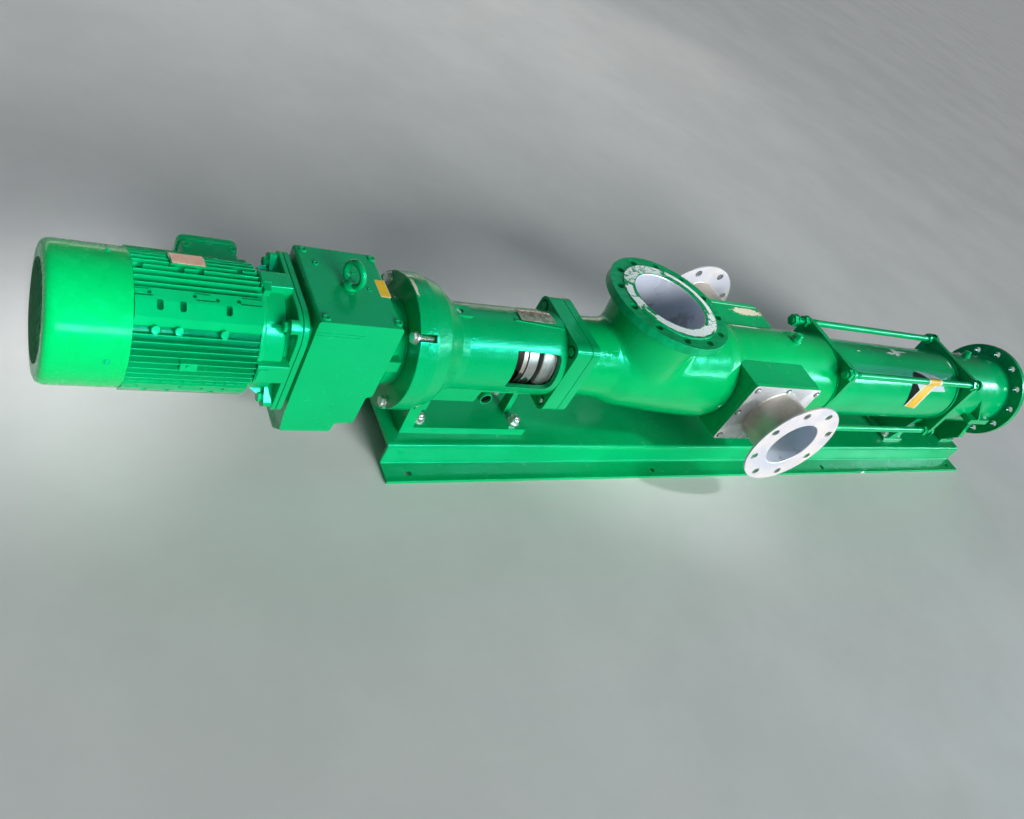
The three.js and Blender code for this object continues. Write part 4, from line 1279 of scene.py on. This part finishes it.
def scraped_mask(look, axes, scraped, lines, seed):
    """1 where the stretches of a flange's face are bare, 0 elsewhere. axes are the two across the face."""
    one, two = [look.math("SUBTRACT", look.axis(axis), ORIGIN["XYZ".index(axis)]) for axis in axes]
    far = look.math("SQRT", look.math("ADD", look.times(one, one), look.times(two, two)))
    turn = look.math("DEGREES", look.math("ARCTAN2", two, one))
    ragged = look.math("SUBTRACT", look.noise(45, 4, 0.7, shift=seed + 2), 0.5)
    far = look.math("ADD", far, look.times(ragged, 0.014))
    turn = look.math("ADD", turn, look.times(ragged, 26))
    soft = 0.7 * MM
    masks = []
    for low, high, inner, outer, streaks in scraped:
        along = look.times(look.band(turn, low - 2, low), look.band(turn, high + 2, high))
        across = look.times(look.band(far, inner * MM - soft, inner * MM + soft),
                            look.band(far, outer * MM + soft, outer * MM - soft))
        kept = look.band(lines, 0.30 + 0.2 * streaks, 0.33 + 0.2 * streaks)
        masks.append(look.times(look.times(along, across), kept))
    thin = look.times(look.band(far, 0.103, 0.105), look.band(far, 0.134, 0.133))
    masks.append(look.times(thin, look.band(lines, 0.64, 0.67)))
    return look.most(masks)


def scraped_flange_paint(name, axes, face, scraped, seed):
    """Green enamel whose raised face is scraped to white metal. axes are the two across the face, face is the
    axis and place of the face itself, and scraped lists (degrees, degrees, radius, radius, streaks) of the
    stretches where the paint is off, with streaks from 0 to 1 for how much of it stays on in strokes."""
    look = Look(name)
    lines = look.noise(75, 4, 0.65, stretch=(1, 3, 1), shift=seed, distort=0.4)
    on_face = look.band(look.axis(face[0]), face[1] - 0.0026, face[1] - 0.0016)
    bare = look.times(scraped_mask(look, axes, scraped, lines, seed), on_face)
    strokes = look.noise(24, 4, 0.6, stretch=(1, 3, 1), shift=seed + 5)
    dabs = look.band(look.noise(60, 4, 0.7, shift=seed + 6), 0.68, 0.72, 0, 0.7)
    tone = look.mix(look.band(strokes, 0.35, 0.65), (0.0, 0.27, 0.085, 1), (0.0, 0.37, 0.125, 1))
    tone = look.mix(dabs, tone, LIGHT_DAB)
    cloud = look.noise(90, 3, 0.6, stretch=(1, 6, 1), shift=seed)
    steel = look.mix(cloud, (0.80, 0.93, 0.95, 1), (0.93, 1.0, 1.0, 1))
    look.set(base_color=look.mix(bare, tone, steel), roughness=look.band(bare, 0, 1, 0.2, 0.42))
    look.set(specular_tint=GLOSS_TINT, coat_weight=0.08, coat_roughness=0.08)
    lumps = look.bump(strokes, 0.5, look.bump(look.noise(180, 3), 0.15))
    look.set(normal=look.bump(look.math("SUBTRACT", 1.0, bare), 0.3, look.bump(lines, 0.15, lumps)))
    return look.material


def inlet_flange():
    form = flange_form(INLET_FACE, FLANGE_R, FLANGE_THICK, FLANGE_BORE, FLANGE_PCD_R, 12, FACE_R)
    scraped = [(72, 152, 104, 134, 0.75), (162, 181, 112, 134, 0.1), (-181, -163, 106, 134, 0.1),
               (-158, -139, 117, 122, 0.4), (-141, -50, 103, 127, 0.15), (-50, -17, 110, 134, 0.6),
               (-15, 64, 120, 134, 0.15)]
    look = scraped_flange_paint("inlet_flange_scraped", "XY", ("Z", inlet_high.z), scraped, 1.0)
    made = skin("inlet_flange", "drilled", form, look, bevel=0.7)
    paint_inside(made, within("Z", 0, FLANGE_BORE + 1))


def plate_steel_look():
    """Bare metal on the outer face of the side plates, paint on their edges."""
    def height(z):
        return place(0, 0, z).z
    look = Look("side_plate_steel")
    cloud = look.noise(12, 5, 0.7, distort=0.5)
    lines = look.noise(40, 3, 0.6, stretch=(5, 1, 1), shift=3)
    tone = look.mix(look.band(cloud, 0.38, 0.62), (0.50, 0.49, 0.52, 1), (0.80, 0.77, 0.80, 1))
    tone = look.mix(look.band(lines, 0.55, 0.75, 0, 0.4), tone, (0.92, 0.90, 0.90, 1))
    # Painted reflection: the steel grows lighter and bluer towards the plate's top, where it mirrors the sky.
    high = look.band(look.axis("Z"), height(30), height(PORT_PLATE_Z), 0, 0.6)
    tone = look.mix(high, tone, (0.86, 0.86, 0.96, 1))
    stains = look.band(look.noise(30, 4, 0.7, shift=8), 0.62, 0.72, 0, 0.6)
    tone = look.mix(stains, tone, (0.30, 0.27, 0.23, 1))
    outward_part = look.math("ABSOLUTE", look.axis("Y", look.facing))
    green = look.band(look.math("ADD", outward_part, look.times(cloud, 0.1)), 0.75, 0.6)
    low = look.band(look.axis("Z"), height(10 - PORT_PLATE_Z), height(1 - PORT_PLATE_Z))
    splash = look.times(low, look.band(look.noise(80, 4, 0.7, shift=5), 0.5, 0.56))
    covered = look.math("MAXIMUM", green, splash)
    look.set(base_color=look.mix(covered, tone, GREEN_FRESH))
    look.set(metallic=look.times(look.math("SUBTRACT", 1.0, covered), 0.45))
    look.set(roughness=look.band(cloud, 0.3, 0.7, 0.32, 0.5))
    look.set(normal=look.bump(lines, 0.12, look.bump(cloud, 0.3)))
    return look.material


def side_port_box(sign, name):
    """The welded box that carries the port, cut to the casing and open to its bore."""
    tube = lathe([(100, 0), (100, 146), (245, 142.3), (280, 138.3), (306, TUBE_R + 0.3), (900, TUBE_R + 0.3),
                  (900, 0)], 128)
    bore = rod(-400, 400, PORT_BORE, "Y", (PORT_X, 0), 96)
    low, high = sorted((sign * 70, sign * (PORT_PLATE_BACK - 0.2)))
    half = PORT_PLATE_Z - 1
    box = block(PORT_PLATE_X0 + 1, PORT_PLATE_X1 - 1, low, high, -half, half)
    pale = [((485, 140, PORT_PLATE_Z), (62, 16, 5))] if sign > 0 else []
    look = paint(f"green_boss_{name}", cast=0.15, seed=16.0 + sign, dust=0.4, strokes=0.6, pale=pale)
    skin(f"side_boss_{name}", "box", cut(box, [tube, bore]), look, bevel=2.0)


def side_port_plate(sign, name, steel):
    low, high = sorted((sign * PORT_PLATE_BACK, sign * PORT_PLATE_FACE))
    plate = prism(rectangle(PORT_PLATE_X0, PORT_PLATE_X1, -PORT_PLATE_Z, PORT_PLATE_Z, 9), low, high, "Y")
    bore = rod(-400, 400, PORT_BORE, "Y", (PORT_X, 0), 96)
    skin(f"side_plate_{name}", "face", cut(plate, [bore]), steel, "bare_steel", bevel=1.2)


def side_port_pipe(sign, name, neck_steel, flange_steel):
    """The short pipe with its flange and the two welds that hold it."""
    far = PORT_FACE - PORT_FLANGE_THICK
    inside = within("Y", PORT_X, PORT_BORE + 1)
    neck = annulus(sign * PORT_PLATE_FACE, sign * far, PORT_BORE, PORT_NECK_R, 128, "Y", (PORT_X, 0))
    paint_inside(skin(f"side_neck_{name}", "pipe", neck, neck_steel, "bare_steel"), inside)
    form = flange_form(PORT_FACE, PORT_FLANGE_R, PORT_FLANGE_THICK, PORT_BORE, PORT_PCD_R, 8, 0, "Y", sign)
    made = skin(f"side_flange_{name}", "drilled", moved(form, PORT_X), flange_steel, "bare_steel", bevel=0.5)
    paint_inside(made, inside)
    beads = [weld_ring(sign * along, PORT_NECK_R + 0.5, 2.0, (PORT_X, 0), "Y", seed)
             for along, seed in ((PORT_PLATE_FACE + 1, 5), (far - 1, 6))]
    piece(f"side_neck_{name}_welds", heap(beads), neck_steel, slot="bare_steel")


def side_plate_screws(sign, name):
    """Eight screws round the edge of a side plate, each with a dark ring of painted shade round its head."""
    screws, shade_rings = [], []
    for dx, z in ((-124, 86), (0, 89), (124, 86), (-129, 2), (129, 2), (-124, -88), (0, -89), (124, -88)):
        spot, out = (PORT_SCREWS_X + dx, sign * PORT_PLATE_FACE, z), (0, sign, 0)
        screws.append(bolt(spot, out, 7.2, washer=False, spin=dx))
        # Painted shade: a thin dark disc round each screw head.
        shade_rings.append(aimed(lathe([(-0.5, 0), (-0.5, 9.5), (0.5, 9.5, 0.3), (0.5, 0)], 28), spot, out))
    fittings(f"side_plate_{name}_screws", screws)
    piece(f"side_plate_{name}_screw_shade_rings", heap(shade_rings), ring_painted_shade, slot=None)


def side_ports():
    flange_steel = bare_steel("side_flange_steel", 2.0, (0.66, 0.61, 0.61, 1), (0.50, 0.51, 0.60, 1), 0.12)
    neck_steel = bare_steel("side_neck_steel", 5.0, (0.60, 0.50, 0.44, 1), (0.42, 0.36, 0.31, 1))
    plate_steel = plate_steel_look()
    for sign, name in ((-1, "front"), (1, "back")):
        side_port_box(sign, name)
        side_port_plate(sign, name, plate_steel)
        side_port_pipe(sign, name, neck_steel, flange_steel)
        side_plate_screws(sign, name)


# Stator between its two square plates.


def end_plates():
    """The square plates at both ends of the stator."""
    outline = rectangle(-END_HALF, END_HALF, -END_HALF, END_HALF, 22)
    for node, x0, x1, bore_r in (("casing_end_plate", END_PLATE_X0, END_PLATE_X1, TUBE_BORE),
                                 ("stator_end_plate", STATOR_X1, STATOR_PLATE_X1, FLANGE_BORE)):
        bore = rod(x0 - 130, x1 + 148, bore_r, segments=96)
        skin(node, "edged", cut(prism(outline, x0, x1, steps=8), [bore]), plate_green, bevel=1.6)


def tie_rods():
    """Four rods with threaded ends, held by nuts and washers in the square plates."""
    rod_look = paint("green_tie_rods", cast=0.05, seed=20.0, dust=0.3, strokes=0.6)
    thread_x0, thread_x1, end_x1 = 775, 1400, STATOR_PLATE_X1 + 30
    across, nut, washer = 32, 18, 2.6
    spin = 0
    for y, z, name in ((-1, 1, "front_top"), (1, 1, "back_top"),
                       (-1, -1, "front_bottom"), (1, -1, "back_bottom")):
        long_end = name == "back_top"
        end_x0 = END_PLATE_X0 - (78 if long_end else 30)
        parts = [moved(mirrored(threaded(0, thread_x0 - end_x0, TIE_R, 3.0)), thread_x0),
                 rod(thread_x0 - 5, thread_x1 + 5, TIE_R - 0.4, segments=32),
                 moved(threaded(0, end_x1 - thread_x1, TIE_R, 3.0), thread_x1)]
        nuts = [(END_PLATE_X0 - nut, True), (STATOR_X1 - nut, True), (STATOR_PLATE_X1, False)]
        if long_end:
            nuts.append((end_x0 + 8, True))
        for x, washer_after in nuts:
            spin += 23
            parts.append(moved(turned(hexagon(across, 0, nut), spin), x))
            low = x + nut - washer if washer_after else x
            parts.append(annulus(low, low + washer, TIE_R, 19.5, 32, soft=0.5))
        form = moved(heap(parts), 0, y * ROD_AT, z * ROD_AT)
        skin(f"tie_rod_{name}", "threaded", form, rod_look)


def stator():
    """The plain tube, with a raised rim and dark seams at each end and a chipped star on top."""
    radius = STATOR_R
    star = [((1097, *polar(radius, 95)), (20, 18, 8)), ((1126, *polar(radius, 97)), (40, 3.5, 6)),
            ((1062, *polar(radius, 91)), (20, 5.0, 6)), ((880, *polar(radius, 88)), (7, 2, 3)),
            ((1394, *polar(radius, 80)), (4, 12, 8))]
    look = paint("green_stator", cast=0.04, seed=21.0, dust=0.35, strokes=0.5, chips=star)
    skin("stator_tube", "drawn", annulus(END_PLATE_X1, STATOR_X1, radius - 12, radius, 160), look)
    rims = [annulus(x, x + 7, radius - 1, radius + 3.6, 128, soft=1.2)
            for x in (END_PLATE_X1 + 2, STATOR_X1 - 17)]
    piece("stator_tube_rims", heap(rims), look)
    seams = [annulus(x, x + 2.6, radius - 1, radius + 0.4, 128)
             for x in (END_PLATE_X1 + 9.2, STATOR_X1 - 19.8, STATOR_X1 - 9.8)]
    piece("stator_rim_seams", heap(seams), seam_dark)


STICKER_THICK = 0.25


def on_stator(points, above):
    """A label on the stator tube, given by places along it and degrees about it."""
    radius = STATOR_R + above
    outline = [(x, math.radians(degrees) * radius) for x, degrees in points]
    return bent(outline, radius, STICKER_THICK, 4.0)


def sticker_look(colour, one, two, roughness=0.5, gloss=0.5):
    return plain_mix(f"sticker_{colour}", one, two, 15, roughness, relief=0.02, gloss=gloss)


def stator_sticker():
    """A yellow band with a pale rim across black and grey patches, which runs over onto the tie rod."""
    rim = sticker_look("white", (0.50, 0.54, 0.46, 1), (0.56, 0.60, 0.52, 1))
    yellow = sticker_look("yellow", (0.58, 0.35, 0.012, 1), (0.66, 0.42, 0.025, 1))
    grey = sticker_look("grey", (0.34, 0.44, 0.50, 1), (0.42, 0.52, 0.60, 1))
    black = sticker_look("black", (0.002, 0.004, 0.003, 1), (0.006, 0.009, 0.008, 1), 0.8, 0.1)
    left_edge = [(1146, 2.4), (1153.5, 14.6), (1170, 25.4), (1194.5, 35.7), (1225.6, 45.8), (1249, 52)]
    right_edge = [(1300, 46.5), (1287.9, 43.2), (1257.8, 32.9), (1235, 22.4), (1220.5, 11.2), (1217, -1.8)]
    inner = [(x + 9, degrees) for x, degrees in left_edge] + [(x - 9, degrees) for x, degrees in right_edge]
    dark = [(1138.5, 58.5), (1155, 60.5), (1226, 52.5), (1226, 45), (1188, 30), (1141, 2.3), (1133, 24)]
    light = [(1152.8, 62), (1262, 57), (1324, 49), (1319, 43), (1341, 32), (1190, 30.5), (1162, 42.3),
             (1226, 44), (1226, 52)]
    layers = [("black", dark, 0.05, black), ("grey", light, 0.35, grey),
              ("rim", left_edge + right_edge, 0.65, rim), ("yellow", inner, 0.95, yellow)]
    for name, outline, above, look in layers:
        piece(f"stator_sticker_{name}", on_stator(outline, above), look, slot=None)
    for name, x0, x1, above, look in (("rim", 1143, 1222, 0.35, rim), ("yellow", 1154, 1210, 0.6, yellow)):
        wrap = moved(sleeve(x0, x1, -45, 130, TIE_R + above, STICKER_THICK), 0, -ROD_AT, ROD_AT)
        piece(f"stator_sticker_{name}_on_rod", wrap, look, slot=None)


def sleeve(x0, x1, degrees0, degrees1, radius, thick):
    """A short sheet wound part of the way round a rod."""
    angles = [degrees0 + (degrees1 - degrees0) * i / 12 for i in range(13)]
    inner = [polar(radius, degrees) for degrees in angles]
    outer = [polar(radius + thick, degrees) for degrees in angles]
    return prism(inner + outer[::-1], x0, x1)


def stator_saddle():
    web = prism([(-66, BASE_TOP + 2), (66, BASE_TOP + 2), (92, -60), (-92, -60)], 1386, 1428)
    inner = prism([(-58, BASE_TOP - 1), (58, BASE_TOP - 1), (84, -50), (-84, -50)], 1396, 1440)
    plate = block(1352, 1466, -72, 72, BASE_TOP, PAD_TOP, 5)
    form = cut(fused(cut(web, [inner]), [plate]), [rod(1300, 1500, STATOR_R + 2.6, segments=96)])
    # Both blots are painted highlights: white glints on the foot plate near a bolt and at its front corner.
    chips = [((1425, -52, -206), (9, 8, 9)), ((1349, -69, -212), (5, 6, 4))]
    look = paint("green_saddle", cast=0.12, seed=22.0, dust=0.5, strokes=0.5, chips=chips)
    skin("stator_saddle", "welded", form, look, bevel=1.2)
    studs("stator_saddle_bolts", ((1368, -50), (1368, 50), (1450, -50), (1450, 50)), PAD_TOP, 14, 4, 19)


def wound(form, pitch):
    """Twists a form about the pump axis, one turn a pitch."""
    for vert in form.verts:
        x, y, z = vert.co
        angle = 2 * math.pi * (x - STATOR_X1) / pitch
        vert.co = (x, y * math.cos(angle) - z * math.sin(angle), y * math.sin(angle) + z * math.cos(angle))
    return form


def layered(outline, low, high, steps):
    """An outline stretched along X in many steps, ready to be wound."""
    form = bmesh.new()
    rings = []
    for i in range(steps + 1):
        x = low + (high - low) * i / steps
        rings.append([form.verts.new((x, y, z)) for y, z in outline])
    for one, two in zip(rings, rings[1:]):
        bridge(form, one, two)
    form.faces.new(rings[0])
    form.faces.new(rings[-1])
    return closed(form)


def arc(centre_z, radius, start, end, count):
    """Points on part of a circle about (0, centre_z), from one angle to another."""
    angles = [math.radians(start + (end - start) * i / count) for i in range(count + 1)]
    return [(radius * math.cos(angle), centre_z + radius * math.sin(angle)) for angle in angles]


def rotor_and_lining():
    """A wound rotor in a lining of two starts, whose slot is twice as long as the rotor is off centre."""
    eccentric, rotor_r, pitch = 14, 36, 280
    slot = arc(2 * eccentric, rotor_r + 2, 0, 180, 20) + arc(-2 * eccentric, rotor_r + 2, 180, 360, 20)
    hole = wound(layered(slot, END_PLATE_X1 - 10, STATOR_X1 + 10, 90), 2 * pitch)
    rubber = cut(rod(END_PLATE_X1 + 2, STATOR_X1 - 2, STATOR_R - 12.3, segments=96), [hole])
    black = plain_mix("lining_rubber_black", (0.015, 0.015, 0.016, 1), (0.035, 0.036, 0.036, 1), 30, 0.55)
    skin("stator_lining", "wound", rubber, black, "lining_rubber", sharp=50)
    section = arc(eccentric, rotor_r, 0, 360, 40)[:-1]
    screw = moved(wound(layered(section, END_PLATE_X1 - 8, STATOR_X1 + 6, 110), pitch), 0, 0, eccentric)
    chrome = turned_steel("rotor_chrome", (0.78, 0.79, 0.80, 1), 5.0, 0.35, 0.12)
    skin("rotor", "wound", screw, chrome, "polished_steel", sharp=50)


# Outlet end.


def outlet_body():
    """The pipe after the stator, with two ears and a gusset welded to it."""
    tube = annulus(STATOR_PLATE_X1, DISCHARGE_X0, 0, OUTLET_R, 144)
    ears = block(1546, 1672, -160, 160, -28, -8, 4)
    gusset = prism([(-158, -10), (-158, -6, 2), (-108, 56, 10), (108, 56, 10), (158, -6, 2), (158, -10)],
                   1592, 1602)
    form = cut(fused(tube, [ears, gusset]), [rod(1400, 1800, FLANGE_BORE, segments=96)])
    look = paint("green_outlet", cast=0.10, seed=23.0, dust=0.4, strokes=0.5)
    made = skin("outlet_body", "welded", form, look, bevel=1.2)
    paint_inside(made, within("X", 0, FLANGE_BORE + 1))
    beads = [weld_ring(STATOR_PLATE_X1 + 2, OUTLET_R + 1, 3.2, seed=7),
             weld_ring(DISCHARGE_X0 - 2, OUTLET_R + 1, 3.4, seed=8)]
    piece("outlet_weld_beads", heap(beads), look)


def gauge_plug():
    """A hex plug on a boss, set a little to the side of the outlet pipe's top."""
    boss = [(OUTLET_R - 2, 0), (OUTLET_R - 2, 15), (OUTLET_R + 8, 15, 1), (OUTLET_R + 8, 0)]
    head = [(OUTLET_R + 7, 0), (OUTLET_R + 7, 12), (OUTLET_R + 19, 12), (OUTLET_R + 20.5, 10.5),
            (OUTLET_R + 20.5, 0)]
    forms = [lathe(profile, sides, "Z", (GAUGE_X, 0)) for profile, sides in ((boss, 40), (head, 6))]
    skin("outlet_gauge_plug", "hex", turned(heap(forms), math.degrees(-0.3)), cast_green, bevel=0.5)


def discharge_flange():
    form = flange_form(DISCHARGE_X1, FLANGE_R, FLANGE_THICK, FLANGE_BORE, FLANGE_PCD_R, 12, FACE_R, "X")
    scraped = [(-120, -30, 106, 130, 0.3), (0, 70, 112, 134, 0.5), (110, 170, 104, 128, 0.4)]
    look = scraped_flange_paint("discharge_flange_scraped", "YZ", ("X", flange_high.x), scraped, 4.0)
    skin("discharge_flange", "drilled", form, look, bevel=0.7)


def outlet_foot():
    x0, x1 = 1738, 1750
    web = prism([(-62, BASE_TOP + 2), (62, BASE_TOP + 2), (106, -160), (92, -85), (-92, -85), (-106, -160)],
                x0, x1)
    rims = []
    for side in (-1, 1):
        strip = [(side * 92, -85), (side * 106, -160), (side * 98, -160), (side * 84, -85)]
        rims.append(prism(strip, x0, x0 + 28))
    plate = block(x0, 1826, -70, 70, BASE_TOP, PAD_TOP, 5)
    form = cut(fused(plate, [web, *rims]), [rod(1500, 1800, OUTLET_R + 3, segments=96)])
    look = paint("green_outlet_foot", cast=0.12, seed=24.0, dust=1.2, strokes=0.5)
    skin("outlet_foot", "welded", form, look, bevel=1.0)
    studs("outlet_foot_bolts", ((1796, -48), (1796, 48)), PAD_TOP, 14, 4, 21)


# All pieces of the pump: the base, then from the motor to the discharge flange.

base_rail()
fan_cowl()
fan_grille()
motor_frame()
motor_plate()
drive_end_shield()
terminal_box()
mounting_plates()
gearbox_housing()
eye_bolt()
yellow_label()
output_bell()
output_flange()
lantern()
lantern_plate()
lantern_foot()
drain_spout()
seal_plates()
seal_housing()
clamp_ring()
slinger()
shaft_and_rod()
suction_casing()
vent_plug()
inlet_flange()
side_ports()
end_plates()
tie_rods()
stator()
stator_sticker()
stator_saddle()
rotor_and_lining()
outlet_body()
gauge_plug()
discharge_flange()
outlet_foot()


# Floor, light and camera. None of it belongs to the pump.


def floor():
    sheet = bmesh.new()
    bmesh.ops.create_grid(sheet, x_segments=1, y_segments=1, size=400000)
    bmesh.ops.translate(sheet, vec=(0, 0, FLOOR - 0.4), verts=sheet.verts)
    bmesh.ops.scale(sheet, vec=(MM, MM, MM), verts=sheet.verts)
    bmesh.ops.translate(sheet, vec=ORIGIN, verts=sheet.verts)
    made = as_object(sheet, "floor")
    pale = plain_mix("floor_pale", (0.66, 0.67, 0.68, 1), (0.72, 0.73, 0.74, 1), 1.2, 0.8, relief=0.0)
    made.data.materials.append(pale)


def hang(lamp, power, spot, turn, lights):
    """Puts a lamp in the scene; lights says whether it gives plain light or gloss."""
    lamp.energy = power
    made = linked(lamp.name, lamp)
    made.location = spot
    made.rotation_euler = turn.to_euler()
    made.visible_glossy = lights == "gloss"
    made.visible_diffuse = lights == "plain"


def towards(spot, target):
    """The turn of a lamp that stands at a spot and shines at a target."""
    return (place(*target) - place(*spot)).to_track_quat("-Z", "Y")


def area_light(name, spot, target, size, power, colour, lights="gloss"):
    lamp = bpy.data.lights.new(name, "AREA")
    lamp.shape = "RECTANGLE"
    lamp.size, lamp.size_y = size
    lamp.color = colour
    hang(lamp, power, place(*spot), towards(spot, target), lights)


def patch_of_sun(name, spot, target, width, power):
    """A soft round patch of plain light, such as falls in through a door."""
    lamp = bpy.data.lights.new(name, "SPOT")
    lamp.spot_size, lamp.spot_blend = math.radians(width), 0.7
    lamp.shadow_soft_size = 0.25
    hang(lamp, power, place(*spot), towards(spot, target), "plain")


def low_sun(name, direction, strength, softness, colour):
    """Plain light from far away in the given direction, softened by its width in degrees."""
    lamp = bpy.data.lights.new(name, "SUN")
    lamp.angle = math.radians(softness)
    lamp.color = colour
    hang(lamp, strength, (0, 0, 0), Vector(direction).to_track_quat("Z", "Y"), "plain")


def world_light(colour, strength):
    world = bpy.data.worlds.new("studio")
    world.use_nodes = True
    sky = world.node_tree.nodes["Background"]
    sky.inputs["Color"].default_value = colour
    sky.inputs["Strength"].default_value = strength
    bpy.context.scene.world = world


def camera(stand, aim, roll, lens):
    """Stands where the photo was taken: at the motor end, above and in front, rolled to the left."""
    photo = bpy.data.cameras.new("photo")
    photo.lens, photo.sensor_width = lens, 36
    photo.clip_start, photo.clip_end = 0.05, 900
    made = linked("photo", photo)
    level = (aim - stand).to_track_quat("-Z", "Y").to_matrix()
    rolled = level @ Matrix.Rotation(math.radians(roll), 3, "Z")
    made.matrix_world = Matrix.Translation(stand) @ rolled.to_4x4()
    bpy.context.scene.camera = made


floor()
low_sun("key_sun", (0.26, -0.93, 0.26), 4.7, 38, (1.0, 1.0, 0.97))
patch_of_sun("door_patch", (-1700, -2500, 2200), (-1320, -60, 20), 9, 620)
patch_of_sun("roof_patch", (1700, -1400, 3000), (420, -20, 130), 15, 360)
area_light("window_wide", (2800, -3000, 2200), (300, 0, 0), (8.0, 2.2), 64, (0.36, 0.93, 1.0))
area_light("window_core_left", (1700, -3000, 3050), (-400, 0, 0), (3.0, 0.32), 230, (0.70, 0.97, 1.0))
area_light("window_core_right", (5200, -3000, 2000), (400, 0, 0), (4.6, 0.40), 170, (0.72, 0.97, 1.0))
area_light("window_shield", (380, -3000, 2700), (-980, 0, 0), (0.5, 1.2), 60, (0.96, 0.98, 0.96))
area_light("window_left", (-760, -3000, 1090), (-1290, 0, 0), (0.6, 0.55), 34, (0.90, 1.0, 0.94))
area_light("pane_behind", (2200, 4000, 3800), (-200, 0, 0), (3.4, 2.6), 24, (0.22, 0.88, 0.68))
area_light("rear_low", (0, 4200, 350), (0, 0, 0), (8.0, 0.3), 36, (1.0, 0.90, 0.75))
area_light("fill_rear", (-600, 4200, 2600), (0, 0, 0), (5.0, 3.0), 34, (0.96, 0.98, 1.0), "plain")
world_light((0.80, 0.92, 1.0, 1), 0.09)
camera(place(-1521.24, -1253.31, 1112.69), place(-260.3, 0, -204.4), roll=32.93, lens=30.118)
bpy.context.scene.view_settings.view_transform = "Standard"
